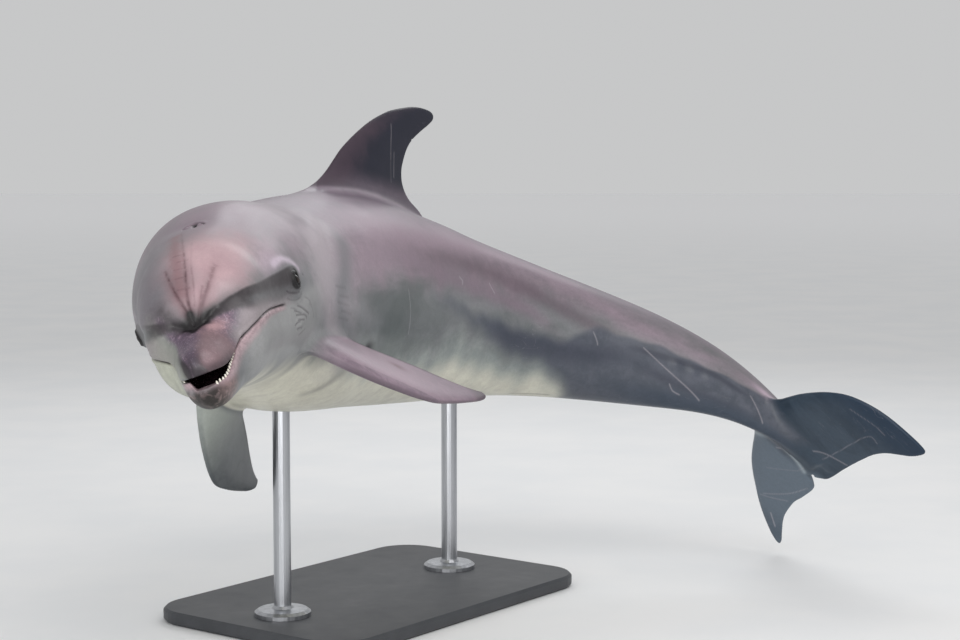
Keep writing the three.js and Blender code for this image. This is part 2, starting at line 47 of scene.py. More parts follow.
RIGHT_SLIM = [(.06, 0), (.10, .04), (.18, .04), (.26, 0)]
FULL_TOP = [(0, 2.2), (.05, 2.15), (.06, 2.08), (.1, 2.12), (.17, 2.12), (.25, 2.12), (.7, 2.05), (.85, 1.8), (.94, 1.65), (1, 1.9)]
FULL_LOW = [(0, 2.3), (.05, 2.4), (.1, 2.3), (.17, 2.2), (.3, 2.2), (.7, 2.0), (.85, 1.75), (.94, 1.65), (1, 1.9)]
MOUTH = [(-.02, -.0055), (0, -.0056), (.008, -.0067), (.015, -.0071), (.0266, -.0066), (.036, -.0046), (.045, -.0015), (.052, .0012), (.058, .0032), (.07, .0046), (.088, .0031), (.11, -.0010), (.1265, -.0050), (.14, -.0100)]
LIP_OPEN = [(-.02, .0092), (0, .0092), (.008, .0080), (.015, .0060), (.020, .0042), (.028, .0024), (.034, .0016), (.040, .0013), (.048, .0012), (.06, .0012)]
CAVITY_END = .0475
STATION = [.0155, .1655, .2555, .3655, .5155, .6655, .8155, .9155, .9755, 1.0155]
HEADING = [22.7, 22.7, 10.0, 0, -20.7, -48.3, -70.2, -70.9, -73.4, -76.0]
PITCH = [-13.2, -13.2, 6.3, 0, 7.9, 13.4, 19.0, 36.6, 49.1, 52.4]
ROLL = [18.0, 18.0, 3.5, 0, 4.5, 18.75, 30.4, 42.4, 45.4, 45.3]
TRUNK_AT = .3655
TRUNK_TURN = (-111.51, 2.66, 4.00)
TRUNK_PLACE = np.array([-160.88, -200.24, 702.57])
EYE_U, EYE_Z, EYE_R = .1456, .0062 * L, 16.0
EYE_Y = {1: .0643 * L - 7.5, -1: .0643 * L * .96 - 7.5}
CAMERA = np.array([243.0, -4345.0, 1035.0])
CAMERA_DOWN = 5.0
LENS = 36.0 * 1900.25 / 960.0

DORSAL_AT = .4555
DORSAL = [(.064, .3660, .5960), (.0715, .3740, .5880), (.078, .3800, .5830), (.0960, .3990, .5720), (.1010, .4050, .5650), (.107, .4112, .5560), (.1152, .4205, .5490), (.1246, .4313, .5456), (.1344, .4412, .5460), (.1444, .4514, .5498), (.1548, .4648, .5556), (.1645, .4790, .5645), (.1751, .4965, .5800), (.1837, .5143, .5945), (.19, .5305, .6028), (.1945, .5480, .6034), (.1978, .5640, .5985), (.1990, .5740, .5900)]
DORSAL_THICK = [(.064, .0175), (.078, .0150), (.1, .0115), (.12, .0090), (.16, .0058), (.19, .0030), (.1990, .0012)]
FLUKE_AT, FLUKE_MID = .9705, -.003
FLUKE_L = [(0, .905, 1.0035), (.004, .9085, 1.0110), (.010, .9135, 1.0180), (.0167, .9195, 1.0197), (.0277, .9268, 1.0202), (.0398, .9309, 1.0214), (.0518, .935, 1.0230), (.0646, .9411, 1.0252), (.0773, .9484, 1.0303), (.0899, .9583, 1.0400), (.0968, .966, 1.0458), (.1024, .9748, 1.0492), (.1070, .9844, 1.0512), (.1108, .9946, 1.0522), (.1142, 1.0100, 1.0524), (.1164, 1.0310, 1.0505)]
FLUKE_R = [(0, .905, 1.0035), (.004, .9090, 1.0110), (.010, .9160, 1.0172), (.0183, .9262, 1.0187), (.0295, .9372, 1.0190), (.0446, .9464, 1.0190), (.0578, .9552, 1.0180), (.0692, .9656, 1.0197), (.0828, .9810, 1.0234), (.0922, .9922, 1.0282), (.1000, 1.0030, 1.0336), (.1069, 1.0142, 1.0386), (.1120, 1.0235, 1.0424), (.1155, 1.0310, 1.0441), (.1180, 1.0395, 1.0442)]
FLUKE_THICK = [(0, .0100), (.02, .0085), (.05, .0058), (.09, .0030), (.1180, .0010)]
FLIPPER_AT, FLIPPER_SPAN = .2505, .165
FLIPPER = [(-.14, .0233, -.0271), (0, .0253, -.0281), (.15, .0302, -.0290), (.3, .0322, -.0280), (.45, .0314, -.0298), (.6, .0266, -.0306), (.75, .0109, -.0299), (.87, -.0051, -.0305), (.95, -.0168, -.0330), (.985, -.0233, -.0345)]
FLIPPER_THICK = [(-.14, .0080), (0, .0074), (.3, .0056), (.7, .0030), (.985, .0010)]
HOLD = {1: dict(u=.2351, y=.0662, z=-.0415, span=1.0165, chord=1.0213, out=(-.5969, .6967, -.3979), normal=(.2441, .6301, .7370)),
        -1: dict(u=.2609, y=.0341, z=-.0573, span=1.0200, chord=1.0982, out=(-.7301, .1629, -.6637), normal=(-.0778, .9450, .3176))}


def curve(table):
    """Monotone cubic through [(x, y)], held level outside."""
    a = np.asarray(table, float)
    x, y = a[:, 0], a[:, 1]
    h = np.diff(x)
    d = np.diff(y) / h
    n = len(x)
    m = np.zeros(n)
    for i in range(1, n - 1):
        if d[i - 1] * d[i] > 0:
            w1, w2 = 2 * h[i] + h[i - 1], h[i] + 2 * h[i - 1]
            m[i] = (w1 + w2) / (w1 / d[i - 1] + w2 / d[i])

    def end(h0, h1, d0, d1):
        v = ((2 * h0 + h1) * d0 - h0 * d1) / (h0 + h1)
        if np.sign(v) != np.sign(d0):
            return 0.0
        if np.sign(d0) != np.sign(d1) and abs(v) > 3 * abs(d0):
            return 3 * d0
        return v
    m[0], m[-1] = end(h[0], h[1], d[0], d[1]), end(h[-1], h[-2], d[-1], d[-2])

    def f(q):
        q = np.clip(np.asarray(q, float), x[0], x[-1])
        i = np.clip(np.searchsorted(x, q, side='right') - 1, 0, n - 2)
        t = (q - x[i]) / h[i]
        t2 = t * t
        t3 = t2 * t
        return (2 * t3 - 3 * t2 + 1) * y[i] + (t3 - 2 * t2 + t) * h[i] * m[i] + (3 * t2 - 2 * t3) * y[i + 1] + (t3 - t2) * h[i] * m[i + 1]
    return f


U0, DU, NU = -.04, .0005, 2320
UG = U0 + DU * np.arange(NU)


def lut(table, k=1.0):
    return (curve(table)(UG) * k).astype(np.float32)


def look(tab, u):
    k = np.clip((u - U0) / DU, 0, NU - 1.001)
    i = k.astype(np.int32)
    t = (k - i).astype(np.float32)
    if tab.ndim == 1:
        return tab[i] * (1 - t) + tab[i + 1] * t
    return tab[i] * (1 - t[..., None]) + tab[i + 1] * t[..., None]


T_T, T_B, T_W = lut(BACK, L), lut(BELLY, L), lut(HALF_WIDTH, L)
T_N, T_M, T_SLIM = lut(FULL_TOP), lut(FULL_LOW), lut(RIGHT_SLIM)
T_MOUTH, T_OPEN = lut(MOUTH, L), lut(LIP_OPEN, L)


def turned(y, p, r):
    y, p, r = [np.radians(np.asarray(a, float)) for a in (y, p, r)]
    cy, sy, cp, sp, cr, sr = np.cos(y), np.sin(y), np.cos(p), np.sin(p), np.cos(r), np.sin(r)
    o, i = np.zeros_like(cy), np.ones_like(cy)
    rz = np.array([[cy, -sy, o], [sy, cy, o], [o, o, i]])
    ry = np.array([[cp, o, -sp], [o, i, o], [sp, o, cp]])
    rx = np.array([[i, o, o], [o, cr, -sr], [o, sr, cr]])
    return np.einsum('ij...,jk...,kl...->...il', rz, ry, rx)


def spine():
    n = 221
    xs = np.linspace(-.01, 1.06, n)
    fy, fp, fr = [curve(list(zip(STATION, a))) for a in (HEADING, PITCH, ROLL)]
    R = turned(fy(xs), fp(xs), fr(xs))
    f = R[:, :, 0]
    mid = (f[1:] + f[:-1]) / 2
    mid /= np.linalg.norm(mid, axis=1)[:, None]
    P = np.vstack([[0, 0, 0], np.cumsum(-mid * np.diff(xs)[:, None] * L, axis=0)])
    k = (TRUNK_AT - xs[0]) / (xs[1] - xs[0])
    i = int(k)
    P = P - (P[i] * (1 - (k - i)) + P[i + 1] * (k - i))
    R0 = turned(*TRUNK_TURN)
    return xs, P @ R0.T + TRUNK_PLACE, np.einsum('ij,njk->nik', R0, R)


XS, SP, SR = spine()
q = np.clip(UG, XS[0], XS[-1])
SPG = np.stack([np.interp(q, XS, SP[:, k]) for k in range(3)], 1)
SFG, SLG, SZG = [np.stack([np.interp(q, XS, SR[:, k, c]) for k in range(3)], 1) for c in range(3)]
SPG = SPG - SFG * ((UG - q) * L)[:, None]          # runs on straight past the ends


def bend(u, y, z):
    return look(SPG, u) + look(SLG, u) * y[..., None] + look(SZG, u) * z[..., None]


def square_frame(u):
    u = np.array([u])
    p, f, l = look(SPG, u)[0], look(SFG, u)[0], look(SLG, u)[0]
    f = f / np.linalg.norm(f)
    l = l - f * f.dot(l)
    l /= np.linalg.norm(l)
    return p, np.stack([f, l, np.cross(f, l)], 1)


# ------------------------------------------------------------------ fins as fields
def smooth_outline(pts, n=400):
    """Closed outline through points, Catmull-Rom by length."""
    p = np.asarray(pts, float)
    d = np.linalg.norm(np.diff(np.vstack([p, p[:1]]), axis=0), axis=1) ** .5
    t = np.concatenate([[0], np.cumsum(d)])
    P = np.vstack([p[-1:], p, p[:2]])
    T = np.concatenate([[-d[-1]], t, [t[-1] + d[0]]])
    out = []
    for s in np.linspace(0, t[-1], n, endpoint=False):
        i = int(np.clip(np.searchsorted(t, s, side='right') - 1, 0, len(p) - 1)) + 1
        p0, p1, p2, p3 = P[i - 1], P[i], P[i + 1], P[(i + 2) if i + 2 < len(P) else -1]
        t0, t1, t2, t3 = T[i - 1], T[i], T[i + 1], T[(i + 2) if i + 2 < len(T) else -1]
        if t3 <= t2:
            t3 = t2 + 1e-6
        a1 = p0 * (t1 - s) / (t1 - t0) + p1 * (s - t0) / (t1 - t0)
        a2 = p1 * (t2 - s) / (t2 - t1) + p2 * (s - t1) / (t2 - t1)
        a3 = p2 * (t3 - s) / (t3 - t2) + p3 * (s - t2) / (t3 - t2)
        b1 = a1 * (t2 - s) / (t2 - t0) + a2 * (s - t0) / (t2 - t0)
        b2 = a2 * (t3 - s) / (t3 - t1) + a3 * (s - t1) / (t3 - t1)
        out.append(b1 * (t2 - s) / (t2 - t1) + b2 * (s - t1) / (t2 - t1))
    return np.array(out)


def polygon_distance(poly, X, Y):
    """Distance to a closed polygon, positive inside."""
    best = np.full(X.shape, 1e9, np.float32)
    inside = np.zeros(X.shape, bool)
    a, b = poly, np.roll(poly, -1, axis=0)
    for (ax, ay), (bx, by) in zip(a, b):
        ex, ey = bx - ax, by - ay
        wx, wy = X - ax, Y - ay
        t = np.clip((wx * ex + wy * ey) / (ex * ex + ey * ey + 1e-12), 0, 1)
        best = np.minimum(best, (wx - ex * t) ** 2 + (wy - ey * t) ** 2)
        if ay != by:
            c = (ay > Y) != (by > Y)
            inside ^= c & (X < (bx - ax) * (Y - ay) / (by - ay) + ax)
    d = np.sqrt(best)
    return np.where(inside, d, -d)


def fin_section(x):
    x = np.clip(x, 0, 1)
    return (5 * (.2969 * (np.sqrt(x + .012) - .1095 * (1 - x)) - .126 * x - .3516 * x * x + .2843 * x ** 3 - .1015 * x ** 4)) / .5


EDGE = 2.6                                  # half the thickness of a fin's edge


class Fin:
    """A flat fin in its own frame: c forward, s along the span, n across."""

    def __init__(self, origin, axes, outline, half_thick, step=1.5, nicks=()):
        self.o, self.A = origin, axes
        poly = smooth_outline(outline)
        lo, hi = poly.min(0) - 70, poly.max(0) + 70
        self.lo, self.step = lo, step
        nx, ny = np.ceil((hi - lo) / step).astype(int)
        self.n = (nx, ny)
        C, S = np.meshgrid(lo[0] + step * np.arange(nx), lo[1] + step * np.arange(ny), indexing='ij')
        d = polygon_distance(poly, C, S)
        for cx, cy, r in nicks:
            d = np.minimum(d, np.hypot(C - cx, S - cy) - r)
        t = EDGE + half_thick(C, S)
        r = EDGE * 1.5
        g = np.clip(d / r, 0, 1)
        t2 = np.where(d >= 0, t * t * (1 - (1 - g) ** 2), 2 * t * t / r * d)
        gx, gy = np.gradient(t2, step)
        self.d = d.astype(np.float32)
        self.t2 = t2.astype(np.float32)
        self.g = np.hypot(gx, gy).astype(np.float32)

    def local(self, W):
        return (W - self.o.astype(np.float32)) @ self.A.astype(np.float32)

    def field(self, W):
        q = self.local(W)
        fx = np.clip((q[..., 0] - self.lo[0]) / self.step, 0, self.n[0] - 1.01)
        fy = np.clip((q[..., 1] - self.lo[1]) / self.step, 0, self.n[1] - 1.01)
        i, j = fx.astype(np.int32), fy.astype(np.int32)
        a, b = (fx - i).astype(np.float32), (fy - j).astype(np.float32)

        def pick(m):
            return (m[i, j] * (1 - a) + m[i + 1, j] * a) * (1 - b) + (m[i, j + 1] * (1 - a) + m[i + 1, j + 1] * a) * b
        d, t2, g = pick(self.d), pick(self.t2), pick(self.g)
        n = np.abs(q[..., 2])
        t = np.sqrt(np.maximum(t2, 0))
        F = (n * n - t2) / np.sqrt((n + t) ** 2 + g * g + .01)
        far = np.sqrt(n * n + (EDGE - d) ** 2) - EDGE
        w = np.clip(-d / 6.0, 0, 1)
        return F * (1 - w) + far * w


def dorsal_fin():
    p, A = square_frame(DORSAL_AT)
    # c forward from the frame, s = height
    lead = [((DORSAL_AT - a) * L, z * L) for z, a, b in DORSAL]
    trail = [((DORSAL_AT - b) * L, z * L) for z, a, b in DORSAL][::-1]
    tip = [((DORSAL_AT - .583) * L, .1993 * L)]
    lz = curve([(z, a) for z, a, b in DORSAL])
    tz = curve([(z, b) for z, a, b in DORSAL])
    th = curve(DORSAL_THICK)

    def half(C, S):
        z = S / L
        u = DORSAL_AT - C / L
        a, b = lz(z), tz(z)
        return th(z) * L * fin_section((u - a) / (b - a))
    axes = np.stack([A[:, 0], A[:, 2], A[:, 1]], 1)
    nick = ((DORSAL_AT - .5662) * L, .1650 * L, 4.5)
    nick2 = ((DORSAL_AT - .5795) * L, .1738 * L, 2.5)
    return Fin(p, axes, lead + tip + trail, half, nicks=[nick, nick2])


def fluke_fin():
    p, A = square_frame(FLUKE_AT)

    def shear(u, s):
        return -.015 * np.clip((u - .93) / .07, 0, 1) * np.exp(-((s / .03) ** 2))

    def pt(u, s, side):
        return ((FLUKE_AT - u) * L, (FLUKE_MID + shear(u, s) + side * s) * L)
    l_lead = [pt(a, s, 1) for s, a, b in FLUKE_L]
    l_trail = [pt(b, s, 1) for s, a, b in FLUKE_L][::-1]
    r_trail = [pt(b, s, -1) for s, a, b in FLUKE_R[1:]]
    r_lead = [pt(a, s, -1) for s, a, b in FLUKE_R[1:]][::-1]
    l_tip = [pt(1.0435, .1170, 1)]
    outline = l_lead + l_tip + l_trail + r_trail + r_lead
    tabs = {1: (curve([(s, a) for s, a, b in FLUKE_L]), curve([(s, b) for s, a, b in FLUKE_L])),
            -1: (curve([(s, a) for s, a, b in FLUKE_R]), curve([(s, b) for s, a, b in FLUKE_R]))}
    th = curve(FLUKE_THICK)

    def half(C, S):
        u = FLUKE_AT - C / L
        y = S / L - FLUKE_MID
        out = np.zeros(C.shape)
        for side in (1, -1):
            s = np.abs(y)
            a, b = tabs[side][0](s), tabs[side][1](s)
            b = np.maximum(b, 1.012 + 0 * b)
            v = th(s) * L * fin_section((u - a) / (b - a))
            out = np.where(y * side >= 0, v, out)
        return out
    nicks = [((FLUKE_AT - 1.0125) * L, -.0170 * L, 5.0), ((FLUKE_AT - 1.0070) * L, -.0150 * L, 3.0)]
    return Fin(p, A, outline, half, nicks=nicks)


def flipper_fin(side):
    p, A = square_frame(FLIPPER_AT)
    h = HOLD[side]

    def v(a):
        w = A[:, 0] * a[0] + A[:, 1] * side * a[1] + A[:, 2] * a[2]
        return w / np.linalg.norm(w)
    out, nrm = v(h['out']), v(h['normal'])
    nrm = nrm - out * out.dot(nrm)
    nrm /= np.linalg.norm(nrm)
    chord = np.cross(out, nrm) * side
    root = p + A @ np.array([(FLIPPER_AT - h['u']) * L, side * h['y'] * L, h['z'] * L])
    ks, kc = FLIPPER_SPAN * L * h['span'], L * h['chord']
    lead = [(a * kc, s * ks) for s, a, b in FLIPPER]
    trail = [(b * kc, s * ks) for s, a, b in FLIPPER][::-1]
    tip = [(-.0290 * kc, 1.002 * ks)]
    la, tb = curve([(s, a) for s, a, b in FLIPPER]), curve([(s, b) for s, a, b in FLIPPER])
    th = curve(FLIPPER_THICK)

    def half(C, S):
        s = S / ks
        a, b = la(s), tb(s)
        return th(s) * L * fin_section((a - C / kc) / (a - b))
    f = Fin(root, np.stack([chord, out, nrm], 1), lead + tip + trail, half)
    f.ks, f.kc = ks, kc
    return f


FINS = [(dorsal_fin(), 52.0), (flipper_fin(1), 26.0), (flipper_fin(-1), 26.0), (fluke_fin(), 16.0)]


# ------------------------------------------------------------------ the body as a field
def smin(a, b, k):
    h = np.maximum(k - np.abs(a - b), 0) / k
    return np.minimum(a, b) - h * h * k / 4


def smax(a, b, k):
    return -smin(-a, -b, k)


def blob(u, y, z, c, r):
    """Soft bump, 1 at c = (U, y, z in parts of L), radii r in mm."""
    return np.exp(-(((u - c[0]) * L / r[0]) ** 2 + ((y - c[1] * L) / r[1]) ** 2 + ((z - c[2] * L) / r[2]) ** 2))


FURROW_DEPTH = lut([(.045, 0), (.06, 2.5), (.07, 4), (.08, 6), (.09, 8), (.10, 10), (.11, 11.5), (.12, 12), (.13, 10), (.14, 6), (.155, 2), (.17, 0)])
STRIPE_Z = lut([(.04, .0185), (.048, .0195), (.0545, .0225), (.062, .0232), (.075, .0212), (.09, .0178), (.11, .0150), (.125, .0135), (.1456, .0120)], L)
STRIPE_DEPTH = lut([(.046, 0), (.052, 3.0), (.06, 3.5), (.09, 3.5), (.12, 2.5), (.135, 0)])


def relief(u, y, z):
    """Height of the broad forms over the plain body, in mm."""
    ay = np.abs(y)
    side = np.clip((ay - 45) / 25, 0, 1)
    D = np.zeros(np.broadcast(u, y, z).shape, np.float32)
    zm = look(T_MOUTH, u)
    D = D - look(FURROW_DEPTH, u) * np.exp(-((z - zm + 6) / 34) ** 2) * side
    D = D - look(STRIPE_DEPTH, u) * np.exp(-((z - look(STRIPE_Z, u)) / 11) ** 2) * np.clip((ay - 12) / 20, 0, 1)
    return D


def relief_spots(u, y, z):
    """Local forms that only some regions have."""
    ay = np.abs(y)
    D = 3.0 * blob(u, ay, z, (.1456, .0640, .0062), (38, 40, 32))             # round the eye
    D = D + 1.0 * blob(u, ay, z, (.1350, .0590, .0280), (50, 40, 26))         # brow
    D = D + 1.2 * blob(u, ay, z, (.1650, .0680, .0230), (40, 40, 18))
    D = D - 3.0 * blob(u, ay, z, (.1600, .0650, -.0060), (22, 40, 26))        # behind the eye
    D = D + 3.0 * blob(u, ay, z, (.1310, .0500, -.0120), (16, 40, 18))        # cushion behind the mouth corner
    D = D - 2.5 * blob(u, ay, z, (.1850, .0700, .0100), (30, 60, 60))         # hollow of the neck
    D = D + 5.0 * blob(u, y, z, (.2790, .0430, -.0700), (50, 50, 14))         # throat ridge ahead of the flipper
    D = D - 7.0 * blob(u, y, z, (.3400, .0800, -.0385), (22, 40, 14))         # armpit
    D = D - 3.0 * blob(u, y, z, (.3450, .0800, -.0400), (50, 40, 30))
    D = D - 6.0 * blob(u, y, z, (.3500, -.0700, -.0560), (40, 40, 30))
    D = D + 3.2 * blob(u, ay, z, (.8258, .0282, -.0130), (15, 30, 14)) + 3.0 * blob(u, ay, z, (.8440, .0250, -.0140), (14, 30, 13)) + 2.6 * blob(u, ay, z, (.8608, .0223, -.0140), (13, 30, 12))
    D = D - 3.5 * blob(u, y, z, (.1520, .0020, .0735), (26, 34, 20))          # dish round the blowhole
    return D


def body_field(u, y, z, local=True):
    T, B, W = look(T_T, u), look(T_B, u), look(T_W, u)
    nt, nb = look(T_N, u), look(T_M, u)
    zc, h = (T - B) / 2, (T + B) / 2
    dz = (z - zc) / h
    n = np.where(dz > 0, nt, nb)
    dy = np.abs(y) / np.where(y < 0, W * (1 - look(T_SLIM, u)), W)
    g = (np.maximum(dy, 1e-4) ** n + np.maximum(np.abs(dz), 1e-4) ** n) ** (1 / n)
    r = np.sqrt(y * y + (z - zc) ** 2)
    F = r * (1 - 1 / np.maximum(g, 1e-3))
    F = F - relief(u, y, z)
    return smax(F, (u - 1.0) * L, 10)          # the stock ends inside the flukes


def head_field(F, u, y, z, local=True):
    a = u * L
    zm, gap = look(T_MOUTH, u), look(T_OPEN, u)
    gap = gap * (1 - .72 * S(-16, -26, y))      # the far corner of the lips meets
    zmid = zm - gap / 2
    # rounded tips: the lower jaw reaches a little further forward
    s = np.clip((z - zmid) / 8 + .5, 0, 1)
    tip = 1.0 * s + (-10.0) * (1 - s)
    F = smax(F, tip - a, 24.0)
    # the parted lips
    hollow = np.abs(z - zmid) - gap / 2
    hollow = smax(hollow, a - CAVITY_END * L, 5.0)
    F = smax(F, -hollow, 3.0)
    # floor of the mouth, with the tongue
    w = look(T_W, u)
    d = np.sqrt((y / np.maximum(w - 13, 3)) ** 2 + ((z - zm + gap - 1) / 9) ** 2)
    floor = (d - 1) * 7
    floor = smax(floor, np.maximum(12 - a, a - .05 * L), 6.0)
    tongue = (np.sqrt((y / 15) ** 2 + ((z - zm + gap + 10) / 9) ** 2 + (np.minimum(a - 40, 0) / 18) ** 2) - 1) * 8
    floor = smax(floor, -tongue, 4.0)
    F = smax(F, -floor, 2.0)
    # roof of the mouth
    roof = (np.sqrt((y / np.maximum(w - 14, 3)) ** 2 + ((z - zm) / 5) ** 2) - 1) * 4
    roof = smax(roof, np.maximum(12 - a, a - .05 * L), 6.0)
    F = smax(F, -roof, 2.0)
    # lids and the opening for the eye
    ay = np.abs(y)
    dx, dzz, dyy = a - EYE_U * L, z - EYE_Z, ay - np.where(y > 0, EYE_Y[1], EYE_Y[-1])
    ball = np.sqrt(dx * dx + dyy * dyy + dzz * dzz)
    F = smin(F, ball - (EYE_R + 2.0), 12.0)
    tilt = .25
    ex, ez = dx + tilt * dzz, dzz - tilt * dx
    opening = (np.sqrt(((ex - 1.0) / 15.6) ** 2 + ((ez - .4) / 13.2) ** 2) - 1) * 13.2
    opening = smax(opening, -(dyy - 1.0), 2.0)
    F = smax(F, -opening, 1.4)
    return F


def fields(u, y, z, fins=None, head=True, spots=True):
    F = body_field(u, y, z)
    if spots:
        F = F - relief_spots(u, y, z)
    if head:
        F = head_field(F, u, y, z)
    if fins:
        W = bend(u, y, z)
        for k in fins:
            F = smin(F, FINS[k][0].field(W), FINS[k][1])
    return F


# ------------------------------------------------------------------ the skin's mesh
def near_fins(u, y, z):
    """Which fins can reach each point, as one mask per fin."""
    far = np.broadcast(u, y, z).shape
    return [np.broadcast_to((u > .355) & (u < .645) & (z > .045 * L), far),
            np.broadcast_to((u > .15) & (u < .50) & (y > 60) & (z < 90), far),
            np.broadcast_to((u > .15) & (u < .50) & (y < 40) & (z < 40), far),
            np.broadcast_to(u > .855, far)]


def block_mesh(h):
    n = 16
    size = n * h
    lo = np.floor(np.array([-40.0, -480.0, -500.0]) / size).astype(int)
    hi = np.ceil(np.array([2700.0, 500.0, 540.0]) / size).astype(int)
    I, J, K = np.meshgrid(*[np.arange(a, b) for a, b in zip(lo, hi)], indexing='ij')
    B = np.stack([I, J, K], -1).reshape(-1, 3)
    C = (B + .5) * size - h / 2
    u, y, z = [c.astype(np.float32) for c in (C[:, 0] / L, C[:, 1], C[:, 2])]
    F = body_field(u, y, z)
    W = bend(u, y, z)
    ff = [f.field(W) for f, k in FINS]
    near = near_fins(u, y, z)
    masks = [(np.abs(f) < size + k) & m for (fin, k), f, m in zip(FINS, ff, near)]
    G = F.copy()
    for (fin, k), f, m in zip(FINS, ff, near):
        G = np.where(m, np.minimum(G, f), G)
    limit = np.where(C[:, 0] < 230, 100.0, 56.0) * size / 38.4
    keep = (np.abs(G) < limit)
    bg = 3 * h
    grid = vdb.FloatGrid(bg)
    for b in B[(~keep) & (G < 0)]:
        p = b * n
        grid.fill(tuple(int(v) for v in p), tuple(int(v) for v in p + n - 1), -bg, False)
    key = sum(m.astype(int) << i for i, m in enumerate(masks))
    key = key + 16 * (C[:, 0] < 560) + 32 * ((C[:, 0] < 1000) | ((C[:, 0] > 1980) & (C[:, 0] < 2240)))
    r = np.arange(n, dtype=np.float32) * h
    for kk in np.unique(key[keep]):
        ids = np.where(keep & (key == kk))[0]
        fins = [i for i in range(4) if (kk >> i) & 1]
        for s in range(0, len(ids), 48):
            g = B[ids[s:s + 48]] * n
            o = (g * h).astype(np.float32)
            u = ((o[:, 0, None] + r) / L)[:, :, None, None]
            y = (o[:, 1, None] + r)[:, None, :, None]
            z = (o[:, 2, None] + r)[:, None, None, :]
            v = fields(u, y, z, fins, bool(kk & 16), bool(kk & 32))
            v = np.clip(v, -bg, bg).astype(np.float32)
            for t in range(len(g)):
                a = v[t]
                if a.min() >= bg:
                    continue
                p = tuple(int(c) for c in g[t])
                if a.max() <= -bg:
                    grid.fill(p, tuple(c + n - 1 for c in p), -bg, False)
                else:
                    grid.copyFromArray(np.ascontiguousarray(a), p, 0.0)
    P, Q = grid.convertToQuads(0.0)
    return P.astype(np.float64) * h, Q.astype(np.int64)


def largest_piece(P, Q):
    lab = np.arange(len(P))
    E = np.vstack([Q[:, [0, 1]], Q[:, [1, 2]], Q[:, [2, 3]], Q[:, [3, 0]]])
    while True:
        m = np.minimum(lab[E[:, 0]], lab[E[:, 1]])
        new = lab.copy()
        np.minimum.at(new, E[:, 0], m)
        np.minimum.at(new, E[:, 1], m)
        new = np.minimum(new, new[new])
        new = new[new]
        if (new == lab).all():
            break
        lab = new
    ids, cnt = np.unique(lab, return_counts=True)
    big = ids[cnt.argmax()]
    keep = lab == big
    Q = Q[keep[Q[:, 0]]]
    idx = np.cumsum(keep) - 1
    return P[keep], idx[Q], len(ids), (~keep).sum()


def refine(P, Q, pick):
    """Quads picked are split in four; a neighbour takes the new points into its own edge."""
    E = np.stack([Q, np.roll(Q, -1, axis=1)], -1)
    Es = np.sort(E, axis=-1).reshape(-1, 2)
    key = Es[:, 0] * (len(P) + 1) + Es[:, 1]
    pe = np.zeros(len(key), bool)
    pe.reshape(-1, 4)[pick] = True
    uk, inv = np.unique(key, return_inverse=True)
    use = np.zeros(len(uk), bool)
    np.logical_or.at(use, inv, pe)
    num = np.cumsum(use) - 1
    first = np.zeros(len(uk), int)
    first[inv] = np.arange(len(key))
    mid = (P[Es[first[use], 0]] + P[Es[first[use], 1]]) / 2
    mi = np.where(use[inv], len(P) + num[inv], -1).reshape(-1, 4)
    cen = P[Q[pick]].mean(1)
    base = len(P) + len(mid)
    c = base + np.arange(len(cen))
    q, m = Q[pick], mi[pick]
    fine = np.concatenate([np.stack([q[:, k], m[:, k], c, m[:, (k + 3) % 4]], 1) for k in range(4)])
    rest, rm = Q[~pick], mi[~pick]
    plain = (rm < 0).all(1)
    quads = np.vstack([fine, rest[plain]])
    odd = []
    for a, b in zip(rest[~plain], rm[~plain]):
        f = []
        for k in range(4):
            f.append(int(a[k]))
            if b[k] >= 0:
                f.append(int(b[k]))
        odd.append(f)
    return np.vstack([P, mid, cen]), quads, odd


def scatter_field(P):
    out = np.empty(len(P), np.float32)
    u, y, z = (P[:, 0] / L).astype(np.float32), P[:, 1].astype(np.float32), P[:, 2].astype(np.float32)
    F = body_field(u, y, z)
    m = (P[:, 0] < 1000) | ((P[:, 0] > 1980) & (P[:, 0] < 2240))
    F[m] -= relief_spots(u[m], y[m], z[m])
    m = P[:, 0] < 560
    F[m] = head_field(F[m], u[m], y[m], z[m])
    for (fin, k), m in zip(FINS, near_fins(u, y, z)):
        if m.any():
            F[m] = smin(F[m], fin.field(bend(u[m], y[m], z[m])), k)
    return F


def settle(P, turns=2, eps=.35):
    """Moves points onto the surface and gives the outward direction there."""
    N = None
    for t in range(turns + 1):
        f = scatter_field(P)
        g = np.stack([scatter_field(P + d) - f for d in np.eye(3) * eps], 1) / eps
        l = np.linalg.norm(g, axis=1) + 1e-6
        N = g / l[:, None]
        if t < turns:
            step = np.clip(f / l, -1.2, 1.2)
            P = P - N * step[:, None]
    return P, N


# ------------------------------------------------------------------ fine relief and markings
def S(a, b, x):
    """0 at a, 1 at b, smooth."""
    t = np.clip((x - a) / (b - a), 0, 1)
    return t * t * (3 - 2 * t)


def line(P, pts, r, ends=True):
    """Soft line of radius r mm through pts (U, y, z as parts of L): 1 on it, fading over r."""
    pts = np.asarray(pts, float) * L
    out = np.zeros(len(P), np.float32)
    lo, hi = pts.min(0) - 3 * r, pts.max(0) + 3 * r
    near = np.where(((P > lo) & (P < hi)).all(1))[0]
    if not len(near):
        return out
    q = P[near]
    best = np.full(len(q), 1e9)
    for a, b in zip(pts[:-1], pts[1:]):
        e = b - a
        t = np.clip(((q - a) @ e) / (e @ e + 1e-9), 0, 1)
        best = np.minimum(best, ((q - a - t[:, None] * e) ** 2).sum(1))
    out[near] = np.exp(-best / (r * r))
    return out


def side_line(P, pts, r):
    """Soft line on one flank, judged from the side only."""
    pts = np.asarray(pts, float)
    Q2 = np.stack([P[:, 0], np.where(P[:, 1] * np.sign(pts[0, 1]) > 8, 0, 1e6), P[:, 2]], 1)
    return line(Q2, pts * (1, 0, 1), r)


def both(pts):
    return [pts, [(a, -b, c) for a, b, c in pts]]


